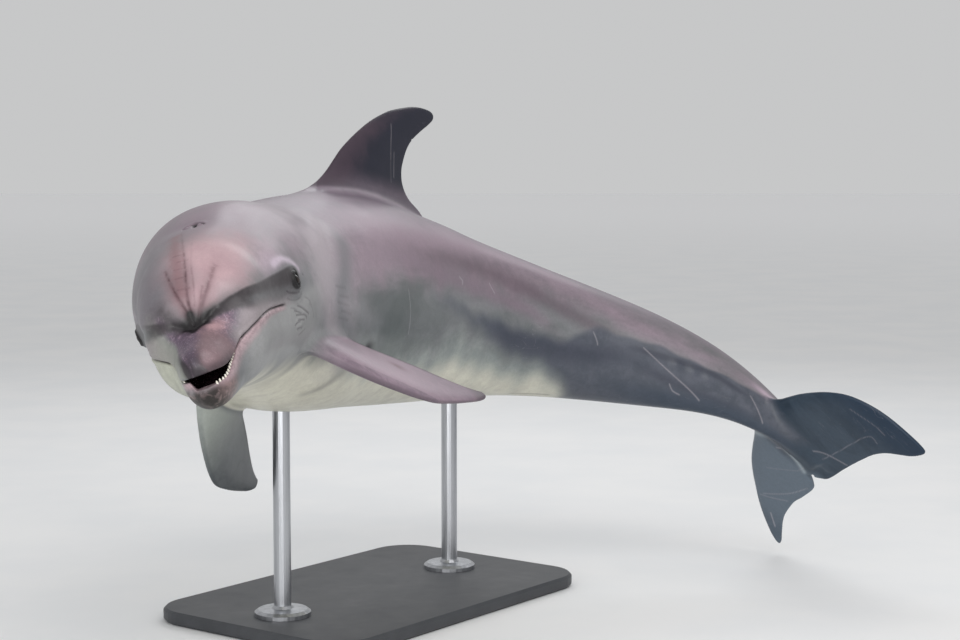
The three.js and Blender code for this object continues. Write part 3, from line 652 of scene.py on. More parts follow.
def smooth_line(pts, n=6):
    """Points of a smooth path through pts."""
    p = np.asarray(pts, float)
    if len(p) < 3:
        return p
    out = []
    for i in range(len(p) - 1):
        a, b, c, d = p[max(i - 1, 0)], p[i], p[i + 1], p[min(i + 2, len(p) - 1)]
        for t in np.linspace(0, 1, n, endpoint=False):
            out.append(.5 * ((2 * b) + (-a + c) * t + (2 * a - 5 * b + 4 * c - d) * t * t + (-a + 3 * b - 3 * c + d) * t ** 3))
    return np.array(out + [p[-1]])


MELON_DARK = [(.1353, 0, .0721), (.1120, .0026, .0694), (.0902, .0042, .0637), (.0750, .0038, .0560), (.0662, .0028, .0496), (.0551, 0, .0337), (.0481, -.0007, .0207)]
MELON_LEFT = [(.0800, -.0112, .0575), (.0717, -.0098, .0532), (.0602, -.0065, .0424), (.0546, -.0037, .0324), (.0490, -.0010, .0215)]
MELON_RIGHT = [(.0760, .0250, .0505), (.0712, .0225, .0486), (.0607, .0164, .0407), (.0551, .0103, .0326), (.0491, .0030, .0213)]
MELON_FINE = [(.1038, .0104, .0671), (.0760, .0088, .0560), (.0617, .0074, .0443), (.0545, .0040, .0320)]
MELON_FINE2 = [(.0607, .0130, .0418), (.0551, .0091, .0328), (.0506, .0039, .0229)]
LADDERS = [[(.0622, -.0059, .0451), (.0612, .0043, .0440)], [(.0907, -.0040, .0640), (.0902, .0042, .0637)], [(.0762, -.0040, .0570), (.0752, .0039, .0563)], [(.0690, -.0050, .0520), (.0685, .0030, .0515)], [(.0830, -.0010, .0605), (.0825, .0070, .0600)]]
CREASE = [(.0522, -.0155, .0232), (.0491, -.0096, .0203), (.0466, -.0050, .0196), (.0452, -.0006, .0192), (.0476, .0056, .0200), (.0511, .0118, .0222), (.0533, .0180, .0246), (.0560, .0240, .0264), (.0590, .0300, .0272), (.0642, .0368, .0268)]
GAPE = [[(.1363, .0604, -.0140), (.1419, .0610, -.0169), (.1474, .0612, -.0199)],
        [(.1388, .0595, -.0185), (.1459, .0605, -.0207), (.1574, .0612, -.0248), (.1614, .0601, -.0287)],
        [(.1409, .0582, -.0229), (.1469, .0588, -.0249), (.1544, .0593, -.0273)],
        [(.1343, .0552, -.0246), (.1393, .0569, -.0245), (.1449, .0580, -.0255)],
        [(.1390, .0560, -.0290), (.1450, .0570, -.0300), (.1500, .0575, -.0315)],
        [(.1429, .0626, -.0128), (.1500, .0630, -.0165), (.1559, .0628, -.0203), (.1664, .0621, -.0265)]]
GAPE_FAINT = [[(.1699, .0655, -.0193), (.1779, .0648, -.0251), (.1830, .0629, -.0314)], [(.1620, .0655, -.0120), (.1700, .0660, -.0170), (.1760, .0655, -.0220)],
              [(.1310, .0560, -.0100), (.1360, .0580, -.0125), (.1400, .0595, -.0150)], [(.1440, .0545, -.0345), (.1520, .0560, -.0350), (.1590, .0575, -.0350)]]
LIDS = [[(.1290, .0610, .0035), (.1308, .0617, .0020), (.1363, .0632, -.0008), (.1420, .0645, -.0030), (.1474, .0654, -.0038), (.1530, .0660, -.0030)],
        [(.1290, .0605, -.0015), (.1323, .0616, -.0040), (.1388, .0630, -.0070), (.1489, .0648, -.0090), (.1560, .0655, -.0080)]]
NECK_WRINKLES = [[(.262, .079, -.002), (.280, .081, -.001)], [(.258, .079, -.008), (.282, .081, -.0075)], [(.266, .079, -.014), (.286, .080, -.0135)], [(.255, .079, .005), (.275, .081, .006)], [(.262, .0785, -.020), (.280, .0795, -.0195)]]
SCARS = [([(.5905, .0650, .0219), (.5960, .0648, .0150), (.5985, .0640, .0125)], 1.6), ([(.7327, .0435, -.0040), (.7380, .0420, -.0110), (.7400, .0410, -.0150)], 1.6),
         ([(.7900, .0330, -.0050), (.8128, .0300, -.0160), (.8300, .0270, -.0230), (.8598, .0180, -.0330)], 1.5),
         ([(.905, .0150, -.0060), (.918, .0150, -.0130), (.930, .0130, -.0190)], 1.4),
         ([(.8250, .0230, -.0300), (.8300, .0200, -.0340), (.8380, .0200, -.0350)], 1.3),
         ([(.5350, .0740, .0240), (.5400, .0735, .0205), (.5390, .0735, .0180)], 2.2),
         ([(.4200, .0850, .0100), (.4235, .0850, -.0100), (.4240, .0840, -.0300)], 1.4)]


def mouth_line(P):
    """Distance in mm above the line of the closed part of the lips, and where it runs."""
    u = P[:, 0] / L
    z = P[:, 2] - look(T_MOUTH, u.astype(np.float32))
    on = S(.0440, .0490, u) * (1 - S(.1235, .1275, u)) * (np.abs(P[:, 1]) > 20)
    return z, on


def fine_relief(P, N):
    """Small folds and wrinkles, in mm along the surface's outward direction."""
    u, y, z = P[:, 0] / L, P[:, 1], P[:, 2]
    D = np.zeros(len(P), np.float32)
    head = P[:, 0] < 520
    zl, on = mouth_line(P)
    lat = np.clip(np.abs(N[:, 1]) * 1.4, 0, 1)
    D -= 4.6 * np.exp(-(zl / 1.7) ** 2) * on * lat
    D += 1.6 * np.exp(-((zl + 6) / 4.0) ** 2) * on * lat + 1.0 * np.exp(-((zl - 5) / 3.5) ** 2) * on * lat
    corner = [(.1235, .0500, -.0040), (.1285, .0520, -.0062)]
    for c in both(corner):
        D -= 2.5 * line(P, c, 3.0)
    for pts, r, d in ((MELON_DARK, 2.2, 1.1), (MELON_DARK, 10, 1.4), (MELON_LEFT, 2.6, 1.2), (MELON_LEFT, 9, 1.2), (MELON_RIGHT, 4.5, 1.6), (MELON_FINE, 1.8, .5), (MELON_FINE2, 2.4, .8), (CREASE[:7], 5.5, 1.6), (CREASE, 12, 2.4), (CREASE[1:6], 3.5, 1.2)):
        D -= d * line(P, smooth_line(pts), r) * (.25 + .75 * S(.125, .060, u))
    for pts in LADDERS:
        D -= .35 * line(P, pts, 1.5)
    # plump folds between the wrinkles
    for c, r, d in (((.060, .0085, .0400), 12, 1.6), ((.060, -.0035, .0410), 11, 1.4), ((.063, .0260, .0390), 16, 1.6), ((.060, -.0170, .0390), 16, 1.6)):
        D += d * np.exp(-((P - np.array(c) * L) ** 2).sum(1) / (r * r))
    for pts in GAPE:
        for c in both(pts):
            D -= 1.7 * side_line(P, smooth_line(c), 2.0)
            D += .7 * side_line(P, smooth_line(np.array(c) + (0, 0, .0018)), 2.6)
    for pts in GAPE_FAINT:
        for c in both(pts):
            D -= .7 * side_line(P, smooth_line(c), 2.2)
    for pts, d in zip(LIDS, (1.6, 1.0)):
        for c in both(pts):
            D -= d * side_line(P, smooth_line(c), 2.0)
            D += .6 * side_line(P, smooth_line(np.array(c) + (0, 0, -.0018)), 2.4)
    for pts in NECK_WRINKLES:
        for c in both(pts):
            D -= .5 * side_line(P, c, 2.6)
    # neck folds: shallow bands that run down ahead of the flipper
    for c in both([(.300, .055, .068), (.262, .073, .030), (.245, .076, -.010), (.262, .073, -.036), (.285, .071, -.047)]):
        D -= 1.3 * line(P, smooth_line(c), 20)
    for c in both([(.270, .058, .063), (.222, .0745, .019), (.208, .0738, -.0094), (.226, .0729, -.0242), (.258, .0723, -.0367)]):
        D += 1.2 * line(P, smooth_line(c), 22)
    # lids: a rim round the opening and two folds below and behind it
    for s in (1, -1):
        dx, dz = P[:, 0] - EYE_U * L, z - EYE_Z
        m = head & (y * s > 30)
        ex, ez = dx + .25 * dz, dz - .25 * dx
        r = np.sqrt(((ex - 1.0) / 15.6) ** 2 + ((ez - .4) / 13.2) ** 2)
        D += m * (.8 * np.exp(-((r - 1.18) / .12) ** 2) - .8 * np.exp(-((r - 1.50) / .12) ** 2) * (dz > -4))
    # blowhole: a crescent slit with a lip behind it
    cx, cy = .1525 * L, 20.0
    dx, dy = P[:, 0] - cx, y - cy
    arc = np.sqrt((dx + 24) ** 2 + dy ** 2)
    m = head & (z > 100) & (dx > -20) & (np.abs(dy) < 27)
    w = S(27, 18, np.abs(dy))
    deep = .55 + .45 * np.exp(-(dy / 10) ** 2)
    D -= 6.0 * head * (z > 100) * np.exp(-((P[:, 0] - .1480 * L) / 13) ** 2 - ((y - 23) / 5.0) ** 2)
    D += m * w * (-8.0 * deep * np.exp(-((arc - 24) / (2.4 + 2.6 * np.exp(-(dy / 8) ** 2))) ** 2) + 2.2 * np.exp(-((arc - 15) / 5) ** 2) + 1.4 * np.exp(-((arc - 32) / 5) ** 2))
    # ear hole, a pinprick behind the eye
    for s in (1, -1):
        D -= 1.2 * np.exp(-((P[:, 0] - .172 * L) ** 2 + (z - .0035 * L) ** 2) / 2.2 ** 2) * (y * s > 100)
    # navel and the slits under the belly
    low = (z < 0) & (np.abs(y) < 80)
    D -= low * 1.6 * np.exp(-((P[:, 0] - .505 * L) / 7) ** 2 - (y / 4) ** 2)
    slit = S(.655, .662, u) * (1 - S(.700, .708, u))
    D -= low * 3.0 * slit * np.exp(-(y / 2.6) ** 2)
    for s in (1, -1):
        D -= low * 1.5 * S(.672, .675, u) * (1 - S(.686, .689, u)) * np.exp(-((y - s * 15) / 2.2) ** 2)
    for pts, r in SCARS:
        D -= .5 * side_line(P, smooth_line(pts), r)
    return D


def fin_weights(P):
    """How far each point lies out on each fin: 0 on the body, 1 on the fin."""
    u, y, z = (P[:, 0] / L).astype(np.float32), P[:, 1].astype(np.float32), P[:, 2].astype(np.float32)
    FB = body_field(u, y, z)
    out, loc = [], []
    for (fin, k), m in zip(FINS, near_fins(u, y, z)):
        w = np.zeros(len(P), np.float32)
        q = np.zeros((len(P), 3), np.float32)
        if m.any():
            Wp = bend(u[m], y[m], z[m])
            w[m] = np.clip((FB[m] - fin.field(Wp)) / 24.0, 0, 1)
            q[m] = fin.local(Wp)
        out.append(w)
        loc.append(q)
    return FB, out, loc


def markings(P, N):
    """Where each colour of the skin lies, 0 to 1."""
    u, y, z = P[:, 0] / L, P[:, 1], P[:, 2]
    uf = u.astype(np.float32)
    T, B = look(T_T, uf), look(T_B, uf)
    zc, h = (T - B) / 2, (T + B) / 2
    v = (z - zc) / h
    ay = np.abs(y)
    ly = S(-20, 20, y)                      # left side
    FB, fw, fl = fin_weights(P)
    onfin = np.maximum.reduce(fw)
    body = 1.0
    M = {}
    vb = curve([(0, -.80), (.05, -.92), (.09, -.94), (.12, -.94), (.1774, -.91), (.238, -.77), (.27, -.66), (.30, -.63), (.36, -.68), (.42, -.70), (.50, -.70), (.56, -.70), (.62, -.82), (.68, -.92), (.73, -1.06), (.80, -1.5)])(u)
    wob = .05 * np.sin(u * 41 + 1.3) + .04 * np.sin(u * 97 + y * .02) + .03 * np.sin(u * 190 + 2)
    slab = lambda c, w: np.exp(-((v - c) / w) ** 2)
    M['pale'] = S(vb + .42, vb + .04, v + wob) * S(.24, .34, u) * (1 - S(.64, .76, u)) * body
    M['cream'] = S(vb + .12, vb - .14, v + wob * .6) * (1 - S(.70, .78, u)) * body
    M['mauve'] = S(-.04, .42, v + wob) * S(.10, .20, u) * (1 - .6 * S(.60, .80, u))
    M['top'] = S(.42, .95, v) * S(.20, .36, u) * body * (1 - .3 * S(.6, .9, u))
    # painted highlight: a pale pinkish band along the upper flank from the shoulder to the tail stock
    s1 = curve([(.30, .80), (.40, .66), (.46, .56), (.515, .62), (.55, .66), (.62, .72), (.66, .70), (.70, .61), (.735, .50), (.77, .34), (.825, .18), (.87, .10), (.90, .16)])(u)
    w1 = curve([(.30, .20), (.46, .17), (.60, .14), (.74, .20), (.83, .28), (.90, .3)])(u)
    M['streak_highlight'] = slab(s1, w1) * S(.28, .40, u) * (1 - .35 * S(.54, .66, u)) * (1 - .3 * S(.76, .86, u)) * (1 - S(.90, .93, u)) * body
    s2 = curve([(.30, .44), (.36, .40), (.41, .37), (.46, .26), (.52, .20), (.58, .13), (.62, .04), (.65, -.03), (.675, -.16), (.70, -.28)])(u)
    M['pink'] = slab(s2, .11) * S(.28, .42, u) * (1 - S(.64, .705, u)) * body
    s3 = curve([(.36, .60), (.43, .52), (.485, .43), (.54, .42), (.60, .37), (.64, .29), (.68, .16), (.73, .02), (.77, -.05)])(u)
    M['between'] = slab(s3, .13) * S(.38, .47, u) * (1 - S(.72, .78, u)) * body
    up = curve([(.40, .06), (.49, .02), (.545, -.14), (.60, -.20), (.645, -.31), (.68, -.40), (.70, -.38), (.72, -.18), (.74, -.02), (.785, .03), (.83, -.06), (.87, -.10), (.90, 0), (.925, .30), (.95, 1.2)])(u)
    lo = curve([(.40, .0), (.49, -.06), (.51, -.11), (.545, -.22), (.58, -.35), (.62, -.55), (.66, -.72), (.695, -.86), (.725, -1.05), (.78, -1.6)])(u)
    soft_up = curve([(.40, .12), (.55, .09), (.66, .09), (.72, .10), (.78, .05), (.9, .06)])(u)
    M['slate'] = S(up + soft_up, up - soft_up, v + wob * .6) * S(lo - .12, lo + .16, v + wob * .5) * S(.455, .53, u) * body
    # the middle term paints shade as a dark band under the bumps on the tail stock; the other terms are darker bands of
    # skin
    M['deep'] = np.clip(1.2 * slab(-.18 - .1 * S(.86, .9, u), .07) * S(.765, .80, u) * (1 - S(.88, .92, u)) + .8 * slab(curve([(.78, -.42), (.81, -.57), (.85, -.72), (.88, -.80)])(u), .10) * S(.77, .82, u) * (1 - S(.88, .93, u))
                        + .85 * slab(curve([(.58, -.30), (.65, -.46), (.70, -.52), (.76, -.40)])(u), .17) * S(.57, .63, u) * (1 - S(.74, .80, u)), 0, 1) * body
    M['murky'] = np.clip(np.exp(-((u - .385) / .045) ** 2) * S(.12, -.05, v) * S(-.66, -.50, v) + .8 * np.exp(-((u - .455) / .05) ** 2 - ((v + .44) / .10) ** 2)
                         + .7 * slab(.0, .14) * S(.30, .34, u) * (1 - S(.40, .46, u)), 0, 1) * body
    M['keel'] = S(-.62, -.92, v) * S(.72, .84, u) * body
    # painted highlight on the upper left of the tail stock just ahead of the flukes
    hi = np.exp(-((P - np.array([.918, .0150, .0085]) * L) ** 2 / np.array([38, 14, 13]) ** 2).sum(1))
    M['tailtop_highlight'] = hi * body
    # head
    hd = 1 - S(.175, .24, u)
    mz = look(T_MOUTH, uf)
    cheek = np.clip((ay - look(T_W, uf) * .45) / 14, 0, 1)
    edge = .0452 + np.where(y > 0, .33, .45) * ay / L
    yw = y / look(T_W, uf)
    rost = (1 - S(edge, edge + .0035, u)) * (z > mz - 3) * (1 - S(.74, .95, yw) * S(.034, .047, u))
    front = S(.049, .054, u)
    right = S(.45, -.25, y / look(T_W, uf)) * (1 - ly)
    center = np.exp(-((P - np.array([.088, .014, .063]) * L) ** 2 / np.array([70, 60, 62]) ** 2).sum(1))
    c2 = np.exp(-((P - np.array([.104, .038, .050]) * L) ** 2 / np.array([78, 50, 50]) ** 2).sum(1))
    above = S(-14, 6, z - look(STRIPE_Z, uf) - 12)
    c3 = np.exp(-((P - np.array([.070, .030, .042]) * L) ** 2 / np.array([50, 52, 42]) ** 2).sum(1))
    c4 = np.exp(-((P - np.array([.056, .006, .034]) * L) ** 2 / np.array([30, 44, 38]) ** 2).sum(1))
    M['melon'] = np.clip(center * 1.0 + c2 * .75 + c3 * .6 + c4 * .7, 0, 1) * front * above * hd * body
    # painted shade: the melon's right side, turned from the light, is darkened
    side_dark = S(35, -95, y) * (1 - .8 * S(.10, .15, u)) * (1 - S(.17, .28, u)) * front
    M['melon_far_side_shade'] = side_dark * above * body
    M['crown'] = np.clip(1.2 * np.exp(-((P - np.array([.155, .030, .070]) * L) ** 2 / np.array([140, 130, 80]) ** 2).sum(1)), 0, 1)
    M['temple'] = np.exp(-((P - np.array([.135, .056, .038]) * L) ** 2 / np.array([60, 34, 30]) ** 2).sum(1)) * body
    upz = curve([(.044, .0192), (.0476, .0204), (.0511, .0230), (.0533, .0254), (.0558, .0276), (.0590, .0288), (.0650, .0289), (.0852, .0258), (.1188, .0212), (.1449, .0180), (.162, .0130)])(u) * L
    loz = curve([(.044, .0180), (.0481, .0190), (.0526, .0198), (.0617, .0160), (.0800, .0118), (.1013, .0062), (.1318, -.0015), (.162, -.006)])(u) * L
    tt = (upz - z) / np.maximum(upz - loz, 6)
    st = S(upz + 2.5, upz - 3.5, z) * (1 - .50 * S(.30, .80, tt) * S(.055, .075, u)) * (1 - S(.75, 1.40, tt)) * S(.044, .050, u) * (1 - S(.138, .170, u)) * (ay > 4)
    M['cheek'] = S(.60, 1.20, tt) * (z > mz - 2) * np.maximum(S(edge, edge + .004, u), S(.74, .95, np.abs(yw)) * S(.034, .047, u)) * (1 - S(.105, .150, u)) * (ay > 25)
    M['stripedark'] = st * np.clip(1 - .75 * S(.054, .080, u) + .75 * S(.105, .138, u), 0, 1) * S(1.1, .35, tt)
    fade_r = 1 - .93 * S(.050, .064, u) * (1 - ly)
    M['stripe'] = st * body * fade_r
    rp = 0
    for c, r, k in (((.0500, -.0130, .0212), 15, 1.0), ((.0526, -.0162, .0246), 18, 1.0), ((.0552, -.0186, .0295), 19, 1.0), ((.0580, -.0212, .0345), 20, .75), ((.0600, -.0270, .0345), 22, .5)):
        rp = np.maximum(rp, k * np.exp(-((P - np.array(c) * L) ** 2).sum(1) / (r * r)))
    M['stripe'] = np.clip(np.maximum(M['stripe'], rp * body * S(.046, .050, u)), 0, 1)
    near = np.exp(-((P - np.array([.0480, 0, .0215]) * L) ** 2 / np.array([26, 30, 24]) ** 2).sum(1))
    M['shade'] = np.clip(near * 1.1, 0, 1) * S(.0440, .0470, u)
    # painted shade: near-black in the crease where the melon meets the rostrum, set a little up on the melon's lowest
    # part
    cr = np.array(smooth_line(CREASE)) * (.35, 1, 1) + (0, 0, .0014)
    Pc = np.where(((u > .036) & (u < .085))[:, None], P * np.array([.35, 1, 1]), 1e6)
    M['crease_shade'] = np.clip(1.4 * line(Pc, cr, 9.0) * (1 - .80 * S(.006 * L, .026 * L, y)) * (1 - .6 * S(-.006 * L, -.014 * L, y)) + 1.6 * line(Pc, [(.0158, -.0008, .0190), (.0164, -.0012, .0212), (.0177, -.0014, .0275)], 7.5), 0, 1)
    # painted shade: dark lines in the grooves of the melon's wrinkles and the short cross lines
    w = np.zeros(len(P), np.float32)
    for pts, r, k in ((MELON_DARK, 2.8, .95), (MELON_LEFT, 3.0, .9), (MELON_RIGHT, 5.5, .50), (MELON_FINE, 2.2, .35), (MELON_FINE2, 3.2, .45)):
        w = np.maximum(w, k * line(P, smooth_line(pts), r) * (.35 + .65 * S(.115, .060, u)))
    for pts in LADDERS:
        w = np.maximum(w, .38 * line(P, pts, 1.9))
    M['wrinkle_shade'] = w * body
    sh = 0
    for pts, r, k in ((MELON_DARK, 11, .8), (MELON_LEFT, 13, .9), (MELON_RIGHT, 13, .6)):
        sh = np.maximum(sh, k * line(P, smooth_line(pts), r) * S(.100, .055, u))
    M['foldshade'] = sh * body
    rb = line(P, smooth_line([(.1290, -.004, .0712), (.1100, -.003, .0695), (.0850, -.002, .0620), (.0680, -.0025, .0515), (.0590, -.003, .0405)]), 14)
    M['redband'] = rb * body * front
    # painted highlight: a pale lavender band along the ridge above each eye, stronger on the left side, and a broad
    # paler patch ahead of it
    M['brow_highlight'] = np.clip(sum(1.0 * line(P, smooth_line(c), 8) for c in both([(.1250, .0575, .0275), (.1393, .0618, .0270), (.1494, .0651, .0222), (.1569, .0669, .0173), (.1644, .0683, .0102)])), 0, 1) * (.45 + .55 * ly)
    M['brow_highlight'] = np.clip(M['brow_highlight'] + .40 * np.exp(-((P - np.array([.118, .055, .034]) * L) ** 2 / np.array([62, 34, 30]) ** 2).sum(1)), 0, 1)
    M['rostrum'] = rost * S(-1, 5, z - mz) * (1 - .9 * S(-.62, -.80, yw))
    M['rostside'] = (1 - S(.045, .075, u)) * S(-1, 5, z - mz) * S(-.62, -.80, yw)
    M['rostbrown'] = rost * S(-.1, .45, yw) * (1 - S(.030, .052, u))
    # painted shade on the rostrum: a dark corner low on the right of its tip, a dark band above the upper lip towards
    # the front, and a dark strip down the right edge at the tip
    corner = np.exp(-((P - np.array([.0015, -.0088, -.0005]) * L) ** 2 / np.array([17, 9, 15]) ** 2).sum(1)) * (z > mz - 3)
    M['rostrum_shade'] = np.clip(1.1 * corner + rost * (.72 * S(62, 24, z - mz) * S(.65, .15, yw) + .80 * S(22, 2, z - mz)) * S(-.60, -.35, yw) * (1 - S(.018, .040, u)) + rost * .9 * np.exp(-((yw + .70) / .13) ** 2) * (1 - S(.010, .026, u)), 0, 1)
    M['rostpink'] = np.exp(-((P - np.array([.0440, .0130, .0150]) * L) ** 2 / np.array([20, 26, 14]) ** 2).sum(1)) * rost
    dl = z - (mz - look(T_OPEN, uf) * (1 - .72 * S(-16, -26, y)))
    lipu = (1 - S(.115, .130, u))
    M['lip'] = S(-curve([(0, 26), (.02, 30), (.035, 32), (.05, 26), (.08, 18), (.12, 10)])(u), -4, dl) * (dl < 3) * lipu * S(-.01, .004, u) * body
    M['lip'] = np.where(u < .049, M['lip'], M['lip'] * (z < mz + 1)) * np.maximum(S(-.60, -.30, yw), 1 - S(.004, .016, u))
    M['jawright'] = (1 - S(.10, .16, u)) * (z < mz) * S(-.30, -.60, yw) * S(.004, .020, u)
    # painted shade: near-black inside the parted lips and along the closed line of the lips
    zl, on = mouth_line(P)
    inner = np.zeros(len(P))
    a = P[:, 0]
    zm = mz - look(T_OPEN, uf) / 2
    W = look(T_W, uf)
    inside = (u < .050) & (ay < W - 6.5) & (a > 7) & (z < mz + 4) & (z > mz - look(T_OPEN, uf) - 14)
    M['mouth'] = np.where(inside, S(0, 4, W - 6.5 - ay) * S(7, 13, a), 0.0)
    M['mouth'] = np.maximum(M['mouth'], np.exp(-(zl / 1.5) ** 2) * on * np.clip(np.abs(N[:, 1]) * 1.6, 0, 1))
    M['blotch'] = (1 - S(.008, .026, u)) * S(-.0120 * L, -.0190 * L, z) * S(.0150 * L, .0050 * L, y)
    M['chindark'] = np.clip(1.7 * np.exp(-((P - np.array([.0010, -.0034, -.0250]) * L) ** 2 / np.array([26, 20, 17]) ** 2).sum(1)), 0, 1) * (z < mz - 4)
    M['chin'] = (1 - S(.010, .032, u)) * S(-.0140 * L, -.0205 * L, z) * (z < mz)
    M['jawgrey'] = S(vb - .1, vb + .30, v) * (1 - S(-2 - 8 * S(.11, .135, u), 8 + 14 * S(.11, .135, u), z - mz)) * S(.03, .06, u) * (1 - S(.17, .24, u)) * body
    # dark lids round each eye opening; painted shade in the blowhole's crescent slit and its open pit
    e = []
    for s in (1, -1):
        dx, dz = P[:, 0] - EYE_U * L, z - EYE_Z
        ex, ez = dx + .25 * dz, dz - .25 * dx
        r = np.sqrt(((ex - 3.2) / 19.2) ** 2 + ((ez - .6) / 13.6) ** 2)
        e.append(np.where(y * s > 30, np.clip(np.exp(-(np.maximum(r - 1.22, 0) / .16) ** 2) + .34 * np.exp(-(np.maximum(r - 1.2, 0) / .5) ** 2), 0, 1), 0))
    arc = np.sqrt((P[:, 0] - .1525 * L + 24) ** 2 + (y - 20.0) ** 2)
    mid = np.exp(-((y - 20.0) / 8) ** 2)
    bh = (P[:, 0] > .1525 * L - 20) * (z > 100) * S(26, 16, np.abs(y - 20.0)) * (P[:, 0] < 520)
    pit = (z > 100) * 1.25 * np.exp(-((P[:, 0] - .1480 * L) / 12) ** 2 - ((y - 23) / 4.6) ** 2)
    M['dark_lids_and_hole_shade'] = np.clip(e[0] + e[1] + pit + bh * (.45 + .55 * mid) * np.exp(-((arc - 24) / (2.6 + 2.4 * mid)) ** 4), 0, 1)
    # painted shade: dark lines in the grooves of the gape wrinkles, lid folds and neck wrinkles, at the mouth corners,
    # in the blowhole slit, the ear holes and the belly slit
    fl_ = 0
    for pts in GAPE:
        for c in both(pts):
            fl_ = np.maximum(fl_, .50 * side_line(P, smooth_line(c), 1.9))
    for pts, k in zip(LIDS, (.75, .4)):
        for c in both(pts):
            fl_ = np.maximum(fl_, k * side_line(P, smooth_line(c), 2.2))
    for pts in GAPE_FAINT:
        for c in both(pts):
            fl_ = np.maximum(fl_, .30 * side_line(P, smooth_line(c), 2.0))
    for pts in NECK_WRINKLES:
        for c in both(pts):
            fl_ = np.maximum(fl_, .22 * side_line(P, c, 3.0))
    fl_ = np.maximum(fl_, .5 * sum(line(P, c, 4) for c in both([(.1220, .0495, -.0035), (.1300, .0530, -.0070)])))
    cx, cy = .1525 * L, 20.0
    arc = np.sqrt((P[:, 0] - cx + 24) ** 2 + (y - cy) ** 2)
    bh = (P[:, 0] > cx - 20) * (z > 100) * S(27, 18, np.abs(y - cy)) * (P[:, 0] < 520)
    mid = np.exp(-((y - cy) / 9) ** 2)
    fl_ = np.maximum(fl_, 1.2 * bh * (np.exp(-((arc - 24) / (2.4 + 2.4 * mid)) ** 2) + .3 * np.exp(-((arc - 37) / 3) ** 2)))
    for s in (1, -1):
        fl_ = np.maximum(fl_, .8 * np.exp(-((P[:, 0] - .172 * L) ** 2 + (z - .0035 * L) ** 2) / 2.6 ** 2) * (y * s > 100))
    slit = S(.655, .662, u) * (1 - S(.700, .708, u)) * (z < 0)
    fl_ = np.maximum(fl_, .6 * slit * np.exp(-(y / 3) ** 2))
    M['folds'] = np.clip(fl_, 0, 1)
    nb = 0
    for c in both([(.2861, .0607, .0626), (.2270, .0747, .0188), (.2120, .0738, -.0094), (.2320, .0729, -.0242), (.2661, .0723, -.0367), (.2911, .0712, -.0464)]):
        nb = np.maximum(nb, line(P, smooth_line(c), 40))
    M['neckpale'] = np.exp(-((u - .245) / .052) ** 2) * S(-.55, .0, v) * S(.95, .45, v)
    M['shoulderpale'] = np.exp(-((u - .355) / .075) ** 2) * S(-.02, .25, v) * S(.85, .45, v)
    M['necklight'] = nb
    nd = 0
    for c in both([(.300, .0700, .045), (.2750, .0800, .013), (.262, .0795, -.006), (.272, .0780, -.022), (.286, .0750, -.036)]):
        nd = np.maximum(nd, line(P, smooth_line(c), 34))
    for c in both([(.168, .068, -.004), (.178, .0640, -.028), (.196, .0560, -.046)]):
        nd = np.maximum(nd, .7 * line(P, smooth_line(c), 26))
    M['neckdark'] = nd * body
    M['ridge'] = np.clip(line(P, smooth_line([(.2010, .0061, -.0713), (.2370, .0345, -.0699), (.2700, .0500, -.0660), (.2891, .0600, -.0609)]), 20) + line(P, smooth_line([(.2010, -.0061, -.0713), (.2370, -.0345, -.0699)]), 20), 0, 1)
    # painted shade in the hollow of the armpit behind the left flipper
    M['armpit_shade'] = np.clip(1.25 * np.exp(-((P - np.array([.3405, .0800, -.0385]) * L) ** 2 / np.array([20, 28, 13]) ** 2).sum(1)), 0, 1)
    # painted shade: a darker band on the throat below and behind the flipper roots
    M['under'] = np.clip(sum(line(P, smooth_line(c), 15) for c in both([(.2850, .0400, -.0800), (.2980, .0560, -.0680), (.3100, .0640, -.0560)])), 0, 1)
    # fins
    wd, wl, wr, wf = fw
    for k in ('cream', 'pale', 'ridge'):
        M[k] = M[k] * (1 - S(.0, .45, np.maximum(wl, wr)))
    q = fl[0]
    zz = q[:, 1] / L
    lead = DORSAL_AT - curve([(a, b) for a, b, c in DORSAL])(zz)
    dlead = lead * L - q[:, 0]
    trail = DORSAL_AT - curve([(a, c) for a, b, c in DORSAL])(zz)
    xr = np.clip((lead - q[:, 0] / L) / np.maximum(lead - trail, .004), 0, 1)
    up_ = S(.103, .127, zz + .009 * xr)
    M['dorsal'] = np.maximum(S(.099, .134, zz + .009 * xr), S(.066, .105, zz) * .50) * S(.0, .9, wd)
    M['dlead'] = S(.15, .6, wd) * S(.46, .04, xr) * S(.094, .112, zz) * (1 - .6 * S(.165, .190, zz))
    dsc = 0
    for pts, r in (([(.5253, .1760), (.5253, .1708), (.5240, .1450), (.5226, .1200)], 1.3), ([(.5300, .1500), (.5290, .1320), (.5285, .1250)], 1.2)):
        fp = np.stack([(DORSAL_AT - q[:, 0] / L), zz, np.zeros(len(q))], 1) * L
        dsc = np.maximum(dsc, .5 * line(fp, [(a, b, 0) for a, b in pts], r) * (wd > .5) * (q[:, 2] > 0))
    q = fl[3]
    s = np.abs(q[:, 1] / L - FLUKE_MID)
    M['fluke'] = np.maximum(wf, S(.955, .985, u) * (1 - S(.0, .35, fw[3]) * 0))
    M['fluketip'] = wf * S(.055, .112, s) * np.where(q[:, 1] > FLUKE_MID * L, 1, .3)
    M['flukelight'] = wf * np.where(q[:, 1] < FLUKE_MID * L, 1, 0) * S(.0, .012, s) * (1 - .4 * S(.08, .115, s))
    sc = dsc
    fp = np.stack([FLUKE_AT - q[:, 0] / L, q[:, 1] / L, np.zeros(len(q))], 1) * L
    onf = (wf > .3)
